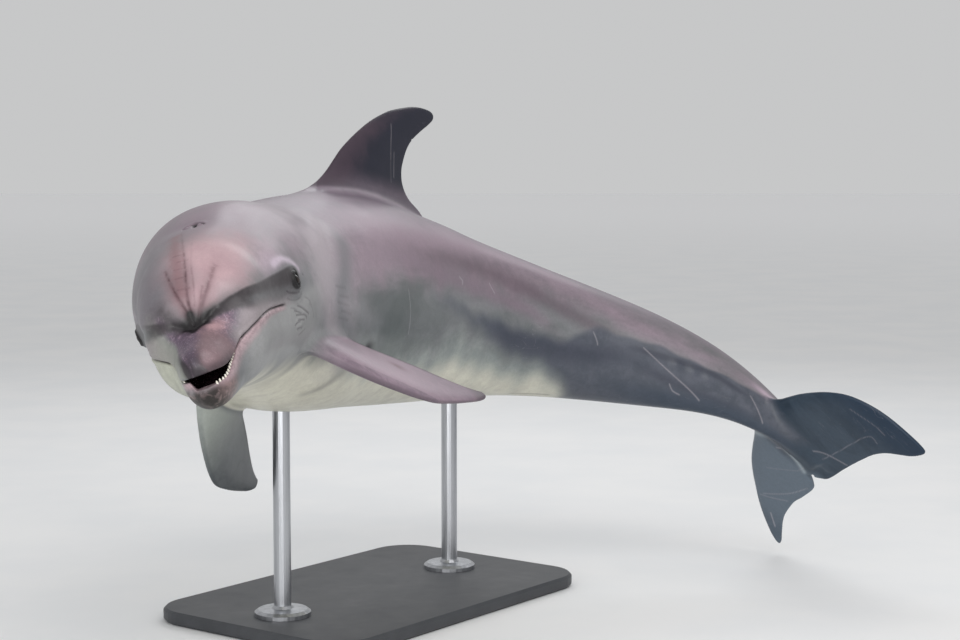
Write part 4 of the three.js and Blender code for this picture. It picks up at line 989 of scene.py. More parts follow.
    for pts, r, k in (([(.9614, -.0178, 0), (.9776, .0022, 0), (.9937, .0201, 0), (1.0180, .0285, 0)], 1.7, .75), ([(.9935, -.0223, 0), (1.0011, .0279, 0), (1.0066, .0752, 0), (1.0180, .0780, 0)], 1.3, .40),
                      ([(.9914, -.0819, 0), (1.0072, -.0567, 0), (1.0140, -.0330, 0)], 1.4, .6), ([(.9904, -.0861, 0), (1.0042, -.0743, 0), (1.0130, -.0660, 0)], 1.3, .6), ([(1.0123, -.0952, 0), (1.0194, -.1004, 0), (1.0266, -.1056, 0)], 1.6, 1.0),
                      ([(.9750, .0850, 0), (1.0000, .0920, 0), (1.0160, .0930, 0)], 1.2, .35), ([(.9720, -.0500, 0), (.9850, -.0330, 0), (.9935, -.0223, 0)], 1.2, .35)):
        sc = np.maximum(sc, k * line(fp, smooth_line(pts), r) * onf)
    # painted highlight: a pale line along the keel under the root of the flukes
    M['fluke_keel_highlight'] = line(fp, smooth_line([(.9357, -.0303, 0), (.9496, -.0141, 0), (.9690, -.0108, 0), (.9854, -.0125, 0), (.9981, -.0175, 0)]), 6) * (fw[3] > .05) * (q[:, 2] < 0)
    for pts, r in SCARS:
        sc = np.maximum(sc, .7 * side_line(P, smooth_line(pts), r))
    sc = np.maximum(sc, 1.0 * sum(np.exp(-((P - np.array(c) * L) ** 2).sum(1) / 2.6 ** 2) for c in ((.1075, .0520, .0042), (.1075, -.0520, .0042))))
    M['scars'] = np.clip(sc, 0, 1)
    for name, k, wgt in (('l', 1, wl), ('r', 2, wr)):
        f, q = FINS[k][0], fl[k]
        ss = q[:, 1] / f.ks
        la, tb = curve([(a, b) for a, b, c in FLIPPER])(ss) * f.kc, curve([(a, c) for a, b, c in FLIPPER])(ss) * f.kc
        x = (la - q[:, 0]) / np.maximum(la - tb, 8)
        # the left flipper's underside just behind the leading edge is painted dark as shade under the edge; the dark
        # leading and trailing edges and the tip are the fin's own colour
        rim = np.maximum(np.maximum(.5 * S(.05, .0, x), S(-1, -5, q[:, 2]) * S(.06, .20, x) * S(.95, .7, x) * (name == 'l')), .7 * S(.90, 1.0, x))
        M['rim_' + name] = wgt * np.maximum(rim * S(-.05, .20, ss), S(.84, 1.0, ss) * .7)
        M['flip_' + name] = S(.10, .75, wgt) * S(-.16, .12, ss)
    M['fliplight'] = np.maximum(wl * np.exp(-(((fl[1][:, 1] / FINS[1][0].ks) - .42) / .30) ** 2) * S(.1, .4, (np.abs(fl[1][:, 0]) < 60) * 1.0), wr * (1 - S(.02, .62, fl[2][:, 1] / FINS[2][0].ks)))
    M['flipspot'] = np.exp(-((fl[1][:, 0] / FINS[1][0].kc + .0064) * L / 13) ** 2 - ((fl[1][:, 1] / FINS[1][0].ks - .432) * 300 / 13) ** 2) * wl * (fl[1][:, 2] > 0)
    return {k: np.clip(a, 0, 1).astype(np.float32) for k, a in M.items()}


# ------------------------------------------------------------------ building the skin object
H = 2.8
P, Q = block_mesh(H)
P, Q, _, _ = largest_piece(P, Q)
P, N = settle(P, 1)
PICK_END = .188 * L
pick = (P[Q, 0].max(1) < PICK_END)
P, QUADS, ODD = refine(P, Q, pick)
P, N = settle(P, 2)
MARKS = markings(P, N)
P = P + N * fine_relief(P, N)[:, None]
WORLD = bend((P[:, 0] / L), P[:, 1], P[:, 2]) / 1000.0


def mesh_object(name, verts, quads, odd=()):
    me = bpy.data.meshes.new(name)
    me.vertices.add(len(verts))
    me.vertices.foreach_set('co', np.asarray(verts, np.float32).ravel())
    loops = np.concatenate([quads.ravel()] + ([np.concatenate([np.array(o) for o in odd])] if len(odd) else []))
    sizes = np.concatenate([np.full(len(quads), 4), np.array([len(o) for o in odd], int)]).astype(int)
    starts = np.concatenate([[0], np.cumsum(sizes)[:-1]])
    me.loops.add(len(loops))
    me.loops.foreach_set('vertex_index', loops.astype(np.int32))
    me.polygons.add(len(sizes))
    me.polygons.foreach_set('loop_start', starts.astype(np.int32))
    me.update(calc_edges=True)
    me.validate()
    me.polygons.foreach_set('use_smooth', np.ones(len(me.polygons), bool))
    ob = bpy.data.objects.new(name, me)
    bpy.context.scene.collection.objects.link(ob)
    return ob


# which way the quads face
t = WORLD[QUADS[:2000]]
nn = np.cross(t[:, 1] - t[:, 0], t[:, 2] - t[:, 0])
cen = bend((P[QUADS[:2000], 0].mean(1) / L), np.zeros(2000), np.zeros(2000)) / 1000
if ((t.mean(1) - cen) * nn).sum() < 0:
    QUADS = QUADS[:, ::-1]
    ODD = [o[::-1] for o in ODD]
skin = mesh_object('dolphin_skin', WORLD, QUADS, ODD)


def attribute(ob, name, a):
    at = ob.data.attributes.new(name, 'FLOAT', 'POINT')
    at.data.foreach_set('value', np.asarray(a, np.float32))


for k, a in MARKS.items():
    attribute(skin, k, a)
at = skin.data.attributes.new('straight', 'FLOAT_VECTOR', 'POINT')
at.data.foreach_set('vector', (P / 1000).astype(np.float32).ravel())


# ------------------------------------------------------------------ materials
def lin(c):
    c = np.asarray(c, float) / 255
    return np.where(c <= .04045, c / 12.92, ((c + .055) / 1.055) ** 2.4)


class Paint:
    """Builds one node material; values are sockets, numbers or colours 0 to 255."""

    def __init__(self, name):
        self.mat = bpy.data.materials.new(name)
        self.mat.use_nodes = True
        self.nt = self.mat.node_tree
        self.nt.nodes.clear()
        self.out = self.node('ShaderNodeOutputMaterial')
        self.bsdf = self.node('ShaderNodeBsdfPrincipled')
        self.nt.links.new(self.bsdf.outputs[0], self.out.inputs[0])

    def node(self, kind, **kw):
        n = self.nt.nodes.new(kind)
        for k, v in kw.items():
            setattr(n, k, v)
        return n

    def put(self, socket, v):
        if hasattr(v, 'is_output'):
            self.nt.links.new(v, socket)
        elif isinstance(v, (tuple, list, np.ndarray)):
            socket.default_value = (*lin(v), 1.0)
        else:
            socket.default_value = v

    def attr(self, name, kind='Fac'):
        return self.node('ShaderNodeAttribute', attribute_name=name, attribute_type='GEOMETRY').outputs[kind]

    def noise(self, scale, detail=3.0, vec=None, rough=.55, distort=0.0, kind='Fac'):
        n = self.node('ShaderNodeTexNoise')
        n.inputs['Scale'].default_value = scale
        n.inputs['Detail'].default_value = detail
        n.inputs['Roughness'].default_value = rough
        n.inputs['Distortion'].default_value = distort
        self.put(n.inputs['Vector'], vec if vec is not None else self.vec)
        return n.outputs[kind]

    def stretch(self, vec, sx, sy, sz):
        n = self.node('ShaderNodeVectorMath', operation='MULTIPLY')
        self.nt.links.new(vec, n.inputs[0])
        n.inputs[1].default_value = (sx, sy, sz)
        return n.outputs[0]

    def span(self, v, a, b, lo=0.0, hi=1.0, smooth=True):
        n = self.node('ShaderNodeMapRange', interpolation_type='SMOOTHSTEP' if smooth else 'LINEAR')
        self.put(n.inputs[0], v)
        for i, x in zip((1, 2, 3, 4), (a, b, lo, hi)):
            n.inputs[i].default_value = x
        return n.outputs[0]

    def math(self, op, a, b=0.0, clamp=False):
        n = self.node('ShaderNodeMath', operation=op, use_clamp=clamp)
        self.put(n.inputs[0], a)
        self.put(n.inputs[1], b)
        return n.outputs[0]

    def mix(self, f, a, b, blend='MIX'):
        n = self.node('ShaderNodeMix', data_type='RGBA', blend_type=blend)
        self.put(n.inputs[0], f)
        self.put(n.inputs[6], a)
        self.put(n.inputs[7], b)
        return n.outputs[2]

    def fmix(self, f, a, b):
        n = self.node('ShaderNodeMix', data_type='FLOAT')
        self.put(n.inputs[0], f)
        self.put(n.inputs[2], a)
        self.put(n.inputs[3], b)
        return n.outputs[0]

    def bump(self, height, strength, distance, normal=None):
        n = self.node('ShaderNodeBump')
        n.inputs['Strength'].default_value = strength
        n.inputs['Distance'].default_value = distance
        self.put(n.inputs['Height'], height)
        if normal is not None:
            self.nt.links.new(normal, n.inputs['Normal'])
        return n.outputs[0]

    def set(self, **kw):
        for k, v in kw.items():
            self.put(self.bsdf.inputs[k.replace('_', ' ')], v)


def skin_material():
    m = Paint('dolphin_skin')
    sp = m.attr('straight', 'Vector')
    m.vec = sp
    big = m.noise(7, 4, sp, .6, .3)
    mid = m.noise(26, 5, sp, .6, .4)
    fine = m.noise(110, 5, sp, .65)
    specks = m.noise(330, 3, sp, .6)
    long = m.noise(9, 5, m.stretch(sp, .55, 1.6, 1.6), .62, .6)

    def soft(name, spread=.5, tex=None):
        """A mark whose edge is broken up by noise."""
        a = m.attr(name)
        t = m.math('SUBTRACT', tex if tex is not None else mid, .5)
        t = m.math('MULTIPLY', t, spread)
        e = m.math('MULTIPLY', m.math('MULTIPLY', a, m.math('SUBTRACT', 1.0, a)), 4.0)
        return m.math('ADD', a, m.math('MULTIPLY', t, e), True)

    c = m.mix(m.span(long, .35, .68), COL['flank'], COL['flank2'])
    c = m.mix(m.math('MULTIPLY', m.span(big, .48, .70), .5), c, COL['flank3'])
    c = m.mix(m.math('MULTIPLY', soft('mauve', 1.1, long), .8), c, m.mix(m.span(mid, .35, .68), COL['mauve'], COL['mauve2']))
    c = m.mix(m.math('MULTIPLY', soft('top', .8, big), .85), c, m.mix(m.span(mid, .35, .7), COL['back'], COL['back2']))
    c = m.mix(m.math('MULTIPLY', soft('pale', .9, long), .80), c, m.mix(m.span(mid, .3, .7), COL['pale'], COL['pale2']))
    c = m.mix(soft('cream', .8, mid), c, m.mix(m.span(mid, .35, .68), COL['cream'], COL['cream2']))
    c = m.mix(m.math('MULTIPLY', soft('murky', 1.0, mid), .6), c, COL['murky'])
    c = m.mix(m.math('MULTIPLY', soft('between', 1.0, long), .65), c, COL['between'])
    # painted highlight band along the upper flank
    c = m.mix(m.math('MULTIPLY', soft('streak_highlight', 1.0, long), .75), c, COL['streak_highlight'])
    c = m.mix(m.math('MULTIPLY', soft('slate', .9, long), .90), c, m.mix(m.span(mid, .35, .65), COL['slate'], COL['slate2']))
    # darker bands, partly painted shade under the tail-stock bumps
    c = m.mix(m.math('MULTIPLY', soft('deep', 1.0, mid), .75), c, COL['deep'])
    c = m.mix(m.math('MULTIPLY', soft('pink', 1.2, long), .70), c, COL['pink'])
    c = m.mix(m.math('MULTIPLY', soft('keel', .8, mid), .7), c, COL['keel'])
    # painted highlight on the tail stock
    c = m.mix(m.math('MULTIPLY', soft('tailtop_highlight', 1.0, long), .7), c, COL['tailtop_highlight'])
    c = m.mix(m.math('MULTIPLY', soft('neckpale', 1.0, mid), .75), c, COL['neckpale'])
    c = m.mix(m.math('MULTIPLY', soft('shoulderpale', 1.2, long), .34), c, COL['shoulderpale'])
    c = m.mix(m.math('MULTIPLY', soft('necklight', 1.0, mid), .45), c, COL['necklight'])
    c = m.mix(m.math('MULTIPLY', soft('neckdark', 1.0, mid), .72), c, COL['neckdark'])
    c = m.mix(m.math('MULTIPLY', m.attr('ridge'), .35), c, COL['ridge'])
    # painted shade under the flipper roots
    c = m.mix(m.math('MULTIPLY', m.attr('under'), .5), c, COL['under'])
    # head
    c = m.mix(m.math('MULTIPLY', soft('crown', .8, mid), .7), c, COL['crown'])
    c = m.mix(m.math('MULTIPLY', soft('temple', .8, mid), .7), c, COL['temple'])
    # painted shade on the melon's right side
    c = m.mix(m.math('MULTIPLY', soft('melon_far_side_shade', .8, mid), .85), c, COL['melon_far_side_shade'])
    c = m.mix(m.math('MULTIPLY', soft('melon', .9, mid), .95), c, m.mix(m.span(m.math('ADD', m.math('MULTIPLY', mid, .6), m.math('MULTIPLY', fine, .4)), .38, .66), COL['melon'], COL['melon2']))
    c = m.mix(m.math('MULTIPLY', soft('redband', 1.6, fine), .55), c, COL['redband'])
    # painted highlight on the brow ridges
    c = m.mix(m.math('MULTIPLY', soft('brow_highlight', .8, mid), .62), c, COL['brow_highlight'])
    c = m.mix(m.math('MULTIPLY', soft('jawgrey', .8, mid), .6), c, COL['jaw'])
    c = m.mix(m.math('MULTIPLY', soft('lip', .7, mid), .80), c, m.mix(m.span(fine, .4, .62), COL['lip'], COL['lip2']))
    c = m.mix(m.math('MULTIPLY', soft('cheek', .8, mid), .85), c, m.mix(m.span(mid, .35, .68), COL['cheek'], COL['cheek2']))
    c = m.mix(soft('rostrum', .5, fine), c, m.mix(m.span(m.math('ADD', m.math('MULTIPLY', fine, .5), m.math('MULTIPLY', specks, .5)), .50, .62), COL['rostrum'], COL['rostrum2']))
    streaks = m.span(m.noise(210, 3, m.stretch(sp, 1.0, 1.0, .30), .55), .54, .66)
    c = m.mix(m.math('MULTIPLY', m.math('MULTIPLY', streaks, m.attr('rostrum')), .38), c, COL['rostspeck'])
    c = m.mix(m.math('MULTIPLY', soft('rostside', .8, fine), .8), c, COL['rostside'])
    c = m.mix(m.math('MULTIPLY', soft('rostbrown', 1.2, fine), .75), c, COL['rostbrown'])
    c = m.mix(m.math('MULTIPLY', soft('rostpink', 1.2, fine), .85), c, COL['rostpink'])
    # painted shade on the rostrum's corner, lower edge and right edge
    c = m.mix(m.math('MULTIPLY', soft('rostrum_shade', .8, fine), .93), c, COL['rostrum_shade'])
    c = m.mix(m.math('MULTIPLY', soft('jawright', .8, mid), .85), c, m.mix(m.span(mid, .35, .68), COL['jawright'], COL['jawright2']))
    c = m.mix(m.math('MULTIPLY', m.attr('foldshade'), .6), c, COL['foldshade'])
    c = m.mix(m.math('MULTIPLY', m.attr('shade'), .8), c, COL['shade'])
    c = m.mix(m.math('MULTIPLY', soft('stripe', .55, mid), .92), c, m.mix(m.span(fine, .35, .65), COL['stripe'], COL['stripe2']))
    c = m.mix(m.math('MULTIPLY', soft('stripedark', .8, mid), .8), c, COL['stripedark'])
    # painted shade in the melon's wrinkle grooves, broken up by noise
    wn = m.span(m.noise(60, 4, sp, .7), .34, .62, .25, 1.0)
    c = m.mix(m.math('MULTIPLY', m.attr('wrinkle_shade'), wn), c, COL['wrinkle_shade'])
    # painted shade in the crease between melon and rostrum
    c = m.mix(m.math('MULTIPLY', m.attr('crease_shade'), .96), c, COL['crease_shade'])
    c = m.mix(m.math('MULTIPLY', soft('chin', .8, fine), .8), c, m.mix(m.span(fine, .38, .6), COL['chin'], COL['chin2']))
    spots = m.noise(52, 5, sp, .62, .5)
    c = m.mix(m.math('MULTIPLY', soft('chindark', 1.0, fine), .80), c, COL['chindark'])
    c = m.mix(m.math('MULTIPLY', m.math('MULTIPLY', m.attr('blotch'), m.span(spots, .37, .51)), .90), c, COL['blotch'])
    # fins
    c = m.mix(m.attr('dorsal'), c, m.mix(m.span(mid, .35, .7), COL['dorsal'], COL['dorsal2']))
    c = m.mix(m.math('MULTIPLY', soft('dlead', 1.2, mid), .75), c, COL['dlead'])
    fl = m.mix(m.span(long, .35, .65), COL['fluke'], COL['fluke2'])
    fl = m.mix(soft('fluketip', .8, mid), fl, COL['fluketip'])
    fl = m.mix(m.math('MULTIPLY', soft('flukelight', 1.0, mid), .85), fl, COL['flukelight'])
    # painted highlight along the fluke keel
    fl = m.mix(m.math('MULTIPLY', m.attr('fluke_keel_highlight'), .75), fl, COL['fluke_keel_highlight'])
    c = m.mix(m.attr('fluke'), c, fl)
    fp = m.mix(m.span(mid, .35, .65), COL['flipper'], COL['flipper2'])
    c = m.mix(m.attr('flip_l'), c, fp)
    fr = m.mix(m.span(mid, .35, .65), COL['flipper_r'], COL['flipper_r2'])
    fr = m.mix(m.math('MULTIPLY', m.attr('fliplight'), .8), fr, COL['flip_pale'])
    c = m.mix(m.attr('flip_r'), c, fr)
    c = m.mix(m.math('MULTIPLY', m.math('MULTIPLY', m.attr('fliplight'), m.attr('flip_l')), .6), c, COL['flip_light'])
    c = m.mix(m.math('MULTIPLY', soft('flipspot', 1.2, fine), .6), c, COL['flipspot'])
    # dark rims, with painted shade on the left flipper's underside
    c = m.mix(m.math('MULTIPLY', soft('rim_l', .8, mid), .95), c, COL['rim'])
    c = m.mix(m.math('MULTIPLY', soft('rim_r', .8, mid), .8), c, COL['rim_r'])
    # painted shade in small folds, lid creases, slits and holes; dark lids; pale scars
    # painted shade in the folds, slits and holes
    c = m.mix(m.math('MULTIPLY', m.attr('folds'), .8), c, COL['shade_in_folds'])
    # painted shade in the armpit
    c = m.mix(m.attr('armpit_shade'), c, COL['armpit_shade'])
    # dark lids; painted shade in the blowhole slit and pit
    c = m.mix(m.attr('dark_lids_and_hole_shade'), c, COL['dark_lids_and_hole_shade'])
    scr = m.noise(42, 2, m.stretch(sp, .12, 1.0, 1.0), .5, 1.2)
    fine_scratch = m.span(m.math('ABSOLUTE', m.math('SUBTRACT', scr, .5)), .006, .0, 0, 1)
    patch = m.span(m.noise(5, 2, sp), .52, .66)
    sc = m.math('MAXIMUM', m.attr('scars'), m.math('MULTIPLY', m.math('MULTIPLY', fine_scratch, patch), .25))
    c = m.mix(m.math('MULTIPLY', sc, .55), c, COL['scar'])
    # overall fine variation
    f = m.math('ADD', m.math('MULTIPLY', fine, .6), m.math('MULTIPLY', specks, .4))
    g = m.span(f, .25, .75, .86, 1.14, False)
    hsv = m.node('ShaderNodeHueSaturation')
    m.put(hsv.inputs['Color'], c)
    m.put(hsv.inputs['Value'], g)
    # painted shade inside the mouth and along the line of the lips
    c = m.mix(m.attr('mouth'), hsv.outputs[0], m.mix(m.span(fine, .4, .6), COL['mouth'], COL['mouth_shade2']))
    h = m.math('ADD', m.math('MULTIPLY', fine, .5), m.math('MULTIPLY', m.noise(700, 3, sp), .5))
    h2 = m.math('ADD', m.math('MULTIPLY', mid, .7), m.math('MULTIPLY', big, .3))
    nrm = m.bump(h2, .35, .0012)
    nrm = m.bump(h, .30, .0004, nrm)
    rough = m.span(m.math('ADD', m.math('MULTIPLY', mid, .6), m.math('MULTIPLY', fine, .4)), .3, .7, .34, .50, False)
    rough = m.fmix(m.math('MULTIPLY', m.attr('dorsal'), .8), rough, .66)
    rough = m.fmix(m.attr('dark_lids_and_hole_shade'), rough, .62)
    rough = m.fmix(m.attr('mouth'), rough, m.span(fine, .4, .6, .22, .34, False))
    m.set(Base_Color=c, Roughness=rough, Normal=nrm)
    m.set(Specular_IOR_Level=.42, Coat_Weight=.12, Coat_Roughness=.22)
    return m.mat


COL = dict(
    flank=(98, 102, 103), flank2=(120, 121, 124), flank3=(112, 116, 118), back=(106, 92, 106), back2=(124, 108, 122), mauve=(118, 100, 112), mauve2=(140, 120, 132),
    pale=(156, 162, 158), pale2=(138, 146, 144), cream=(218, 216, 200), cream2=(205, 202, 188), streak_highlight=(150, 130, 143),
    murky=(76, 84, 84), between=(92, 78, 88), slate=(62, 68, 80), slate2=(78, 82, 94), deep=(48, 52, 66), pink=(122, 106, 118),
    keel=(42, 56, 72), tailtop_highlight=(200, 178, 194),
    neckpale=(174, 164, 171), shoulderpale=(170, 150, 163), necklight=(172, 162, 168), neckdark=(106, 108, 112), ridge=(200, 197, 184), under=(118, 114, 112), armpit_shade=(26, 26, 34),
    melon_far_side_shade=(106, 99, 107), crown=(138, 120, 132), temple=(150, 131, 141), melon=(188, 158, 163), melon2=(176, 146, 152), redband=(120, 80, 84), brow_highlight=(216, 200, 216),
    jaw=(158, 157, 157), cheek=(142, 132, 135), cheek2=(154, 144, 148), lip=(186, 158, 164), lip2=(154, 130, 136), rostrum=(94, 80, 96), rostrum2=(124, 104, 118), rostspeck=(172, 156, 172), rostpink=(176, 142, 146), rostbrown=(132, 108, 110), rostrum_shade=(34, 26, 33), rostside=(136, 138, 130),
    jawright=(176, 178, 162), jawright2=(158, 160, 146),
    foldshade=(112, 84, 90), shade=(54, 42, 48), stripe=(60, 55, 58), stripe2=(74, 69, 72), stripedark=(44, 38, 42), crease_shade=(8, 4, 7), wrinkle_shade=(78, 52, 58), chin=(92, 74, 72), chin2=(132, 108, 106), blotch=(22, 17, 13), chindark=(20, 17, 15),
    dorsal=(6, 10, 34), dorsal2=(14, 16, 38), dlead=(64, 48, 60), fluke=(38, 52, 66), fluke2=(52, 66, 80), fluketip=(14, 40, 62), flukelight=(98, 110, 122), fluke_keel_highlight=(150, 160, 166),
    flipper=(122, 106, 118), flipper2=(142, 124, 136), flip_light=(164, 142, 154), flipspot=(96, 62, 70), rim=(26, 22, 28), flipper_r=(84, 88, 92), flipper_r2=(102, 106, 108), flip_pale=(178, 184, 176), rim_r=(48, 54, 62),
    shade_in_folds=(50, 42, 48), dark_lids_and_hole_shade=(12, 9, 12), scar=(176, 170, 176), mouth=(8, 5, 6), mouth_shade2=(22, 12, 15))

skin.data.materials.append(skin_material())
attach(skin, 'root')
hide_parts('head', 'upper_jaw', 'lower_jaw', 'neck', 'trunk_front', 'trunk_middle', 'trunk_rear', 'tail_stock',
            'dorsal_fin', 'flipper_left', 'flipper_right', 'fluke_left', 'fluke_right')


# ------------------------------------------------------------------ eyes
def rings_mesh(name, sections, centre_first=True):
    """Surface through rings of points, closed with one face over each end ring. sections: list of (n, 3)."""
    n = len(sections[0])
    V = np.vstack(sections)
    quads = []
    for k in range(len(sections) - 1):
        for j in range(n):
            a, b = k * n + j, k * n + (j + 1) % n
            quads.append((a, b, b + n, a + n))
    ends = [list(range(n))[::-1], [(len(sections) - 1) * n + j for j in range(n)]]
    return V, np.array(quads), ends


def eyeball(side):
    u = np.array([EYE_U])
    c = bend(u, np.array([side * EYE_Y[side]]), np.array([EYE_Z]))[0]
    p, A = square_frame(EYE_U)
    out = A[:, 1] * side
    fwd, up = A[:, 0], A[:, 2]
    R = EYE_R - .15
    rings, rad = [], []
    for k in range(1, 48):
        t = math.pi * k / 48
        r = R * (1 + .035 * math.exp(-(t / .42) ** 2))          # the cornea stands a little proud
        ang = np.linspace(0, 2 * math.pi, 72, endpoint=False)
        rings.append(c + out * r * math.cos(t) + (np.cos(ang)[:, None] * fwd + np.sin(ang)[:, None] * up) * r * math.sin(t))
        rad.append(np.full(72, t))
    V, quads, ends = rings_mesh('eye', rings)
    if side > 0:
        quads = quads[:, ::-1]
        ends = [e[::-1] for e in ends]
    ob = mesh_object('dolphin_eye_' + ('left' if side > 0 else 'right'), V / 1000, quads, ends)
    attribute(ob, 'from_axis', np.concatenate(rad))
    d = V - c
    at = ob.data.attributes.new('straight', 'FLOAT_VECTOR', 'POINT')
    at.data.foreach_set('vector', (np.stack([d @ fwd, d @ up, d @ out], 1) / 1000).astype(np.float32).ravel())
    return ob


def eye_material():
    m = Paint('dolphin_eye')
    sp = m.attr('straight', 'Vector')
    m.vec = sp
    t = m.attr('from_axis')
    rays = m.noise(900, 4, sp, .6, .8)
    c = m.mix(m.span(rays, .35, .65), (22, 14, 11), (38, 25, 18))
    c = m.mix(m.span(t, .30, .24), c, (4, 3, 4))                      # pupil
    c = m.mix(m.span(t, .52, .66), c, (12, 9, 10))                    # dark limbus
    c = m.mix(m.span(t, 1.0, 1.3), c, m.mix(m.span(rays, .3, .7), (14, 11, 12), (22, 17, 18)))
    m.set(Base_Color=c, Roughness=.16, Specular_IOR_Level=.22, Coat_Weight=.10, Coat_Roughness=.03,
          Normal=m.bump(m.noise(300, 2, sp), .05, .0002))
    return m.mat


em = eye_material()
for side, node in ((1, 'eye_left'), (-1, 'eye_right')):
    e = eyeball(side)
    e.data.materials.append(em)
    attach(e, 'root')
    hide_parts(node)


# ------------------------------------------------------------------ teeth
def teeth():
    V, F, ends = [], [], []
    base = 0
    rng = np.random.RandomState(11)
    n = 14
    us = np.linspace(.0010, .0345, 300)
    path = np.concatenate([[0], np.cumsum(np.hypot(np.diff(us) * L, np.diff(look(T_W, us) * .97)))])
    for side in (1, -1):
        for k in range(0 if side > 0 else 4, 12):
            u = float(np.interp(path[-1] * k / 11, path, us))
            w = float(look(T_W, np.array([u]))[0])
            zm = float(look(T_MOUTH, np.array([u]))[0])
            gap = float(look(T_OPEN, np.array([u]))[0])
            gap *= 1 if side > 0 else .28 + .72 * (1 - min(max((w - 20) / 11, 0), 1))
            y = side * max(w * .97 - 4.2, 1.0)
            z0 = zm - gap
            hgt = min(6.0, .55 * gap) * rng.uniform(.86, 1.0)
            lean = np.array([rng.uniform(-.10, .10), side * rng.uniform(.0, .14)])
            for i, (t, r) in enumerate(((-.9, 2.1), (0, 2.2), (.25, 2.1), (.5, 1.8), (.72, 1.4), (.88, .95), (.97, .45))):
                ang = np.linspace(0, 2 * math.pi, n, endpoint=False)
                h = t * hgt if t > 0 else t * 4.0
                ring = np.stack([u * L + lean[0] * h + np.cos(ang) * r, y + lean[1] * h + np.sin(ang) * r, z0 - .4 + h + 0 * ang], 1)
                V.append(ring)
                if i:
                    for j in range(n):
                        a, b = base + (i - 1) * n + j, base + (i - 1) * n + (j + 1) % n
                        F.append((a, b, b + n, a + n))
            ends.append([base + j for j in range(n)][::-1])
            ends.append([base + 6 * n + j for j in range(n)])
            base += 7 * n
    V = np.vstack(V)
    return V, np.array(F), ends


V, F, ends = teeth()
tooth_piece = mesh_object('dolphin_teeth', bend(V[:, 0] / L, V[:, 1], V[:, 2]) / 1000, F, ends)
at = tooth_piece.data.attributes.new('straight', 'FLOAT_VECTOR', 'POINT')
at.data.foreach_set('vector', (V / 1000).astype(np.float32).ravel())
m = Paint('dolphin_teeth')
sp = m.attr('straight', 'Vector')
m.vec = sp
nz = m.noise(260, 4, sp)
m.set(Base_Color=m.mix(m.span(nz, .35, .65), (236, 233, 224), (214, 206, 190)), Roughness=.28, Specular_IOR_Level=.5,
      Normal=m.bump(nz, .2, .0003))
tooth_piece.data.materials.append(m.mat)
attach(tooth_piece, 'root')


# ------------------------------------------------------------------ the stand
def metal():
    m = Paint('stand_metal')
    g = m.node('ShaderNodeTexCoord')
    m.vec = g.outputs['Object']
    brushed = m.noise(60, 4, m.stretch(g.outputs['Object'], 1, 1, .04), .6)
    grain = m.noise(900, 2, m.stretch(g.outputs['Object'], 1, 1, .03), .5)
    m.set(Base_Color=m.mix(m.span(brushed, .3, .7), (168, 170, 174), (190, 192, 196)), Metallic=1.0,
          Roughness=m.span(grain, .3, .7, .26, .42, False), Normal=m.bump(grain, .12, .0002))
    return m.mat


def painted():
    m = Paint('stand_base')
    g = m.node('ShaderNodeTexCoord')
    m.vec = g.outputs['Object']
    a, b = m.noise(14, 4), m.noise(420, 3)
    m.set(Base_Color=m.mix(m.span(a, .3, .7), (52, 54, 58), (64, 66, 70)), Roughness=m.span(a, .3, .7, .42, .56, False),
          Specular_IOR_Level=.5, Normal=m.bump(b, .25, .0003))
    return m.mat


def dress(node, mat):
    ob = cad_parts[node]
    if ob.data.materials:
        for k in range(len(ob.data.materials)):
            ob.material_slots[k].link = 'OBJECT'
            ob.material_slots[k].material = mat
    else:
        ob.data.materials.append(mat)


mt, pt_ = metal(), painted()
dress('stand_base', pt_)
dress('stand_rod_front', mt)
dress('stand_rod_rear', mt)


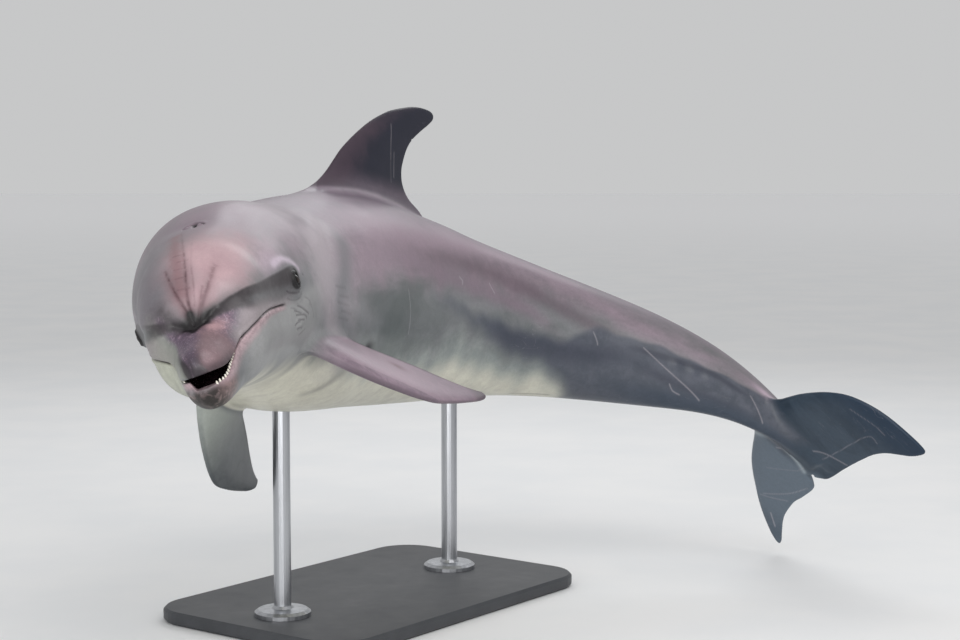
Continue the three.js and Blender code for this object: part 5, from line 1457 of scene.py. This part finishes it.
# ------------------------------------------------------------------ floor, light, camera
bpy.ops.mesh.primitive_plane_add(size=90, location=(0, 0, -.0005))
floor = bpy.context.object
floor.name = 'floor'
m = Paint('floor')
g = m.node('ShaderNodeTexCoord')
m.vec = g.outputs['Object']
d = m.node('ShaderNodeVectorMath', operation='LENGTH')
m.nt.links.new(g.outputs['Object'], d.inputs[0])
m.set(Base_Color=m.mix(m.span(d.outputs['Value'], 3, 30), m.mix(m.span(m.noise(2.2, 3), .3, .7), (238, 239, 240), (243, 243, 243)), (253, 253, 254)), Roughness=m.span(m.noise(60, 3), .3, .7, .62, .74, False))
floor.data.materials.append(m.mat)


def area(name, loc, aim, size, power, colour=(1, 1, 1)):
    d = bpy.data.lights.new(name, 'AREA')
    d.shape = 'RECTANGLE'
    d.size, d.size_y = size
    d.energy = power
    d.color = colour
    o = bpy.data.objects.new(name, d)
    bpy.context.scene.collection.objects.link(o)
    from mathutils import Vector
    o.location = loc
    o.rotation_euler = (Vector(aim) - Vector(loc)).to_track_quat('-Z', 'Y').to_euler()
    return o


area('key', (1.6, -2.6, 3.8), (.1, 0, .7), (3.2, 2.6), 64, (1, .985, .97))
area('front', (-2.2, -4.6, 1.9), (0, 0, .7), (2.8, 2.2), 26, (.98, .99, 1))
area('low', (-.3, -4.7, .55), (0, 0, .6), (3.8, .9), 56, (1, .995, .99))
area('back', (.6, 3.2, 3.2), (.2, .2, .7), (3.0, 1.6), 34, (.96, .98, 1))
world = bpy.data.worlds.new('studio')
bpy.context.scene.world = world
world.use_nodes = True
bg = world.node_tree.nodes['Background']
bg.inputs[0].default_value = (.84, .845, .85, 1)
bg.inputs[1].default_value = .68

bpy.context.scene.view_settings.view_transform = 'Standard'
bpy.context.scene.view_settings.look = 'None'
bpy.context.scene.view_settings.exposure = 0.0

cam = bpy.data.cameras.new('camera')
cam.sensor_width = 36.0
cam.sensor_fit = 'HORIZONTAL'
cam.lens = LENS
cam.clip_end = 200
camera = bpy.data.objects.new('camera', cam)
bpy.context.scene.collection.objects.link(camera)
camera.location = CAMERA / 1000
camera.rotation_euler = (math.radians(90 - CAMERA_DOWN), 0, 0)
bpy.context.scene.camera = camera
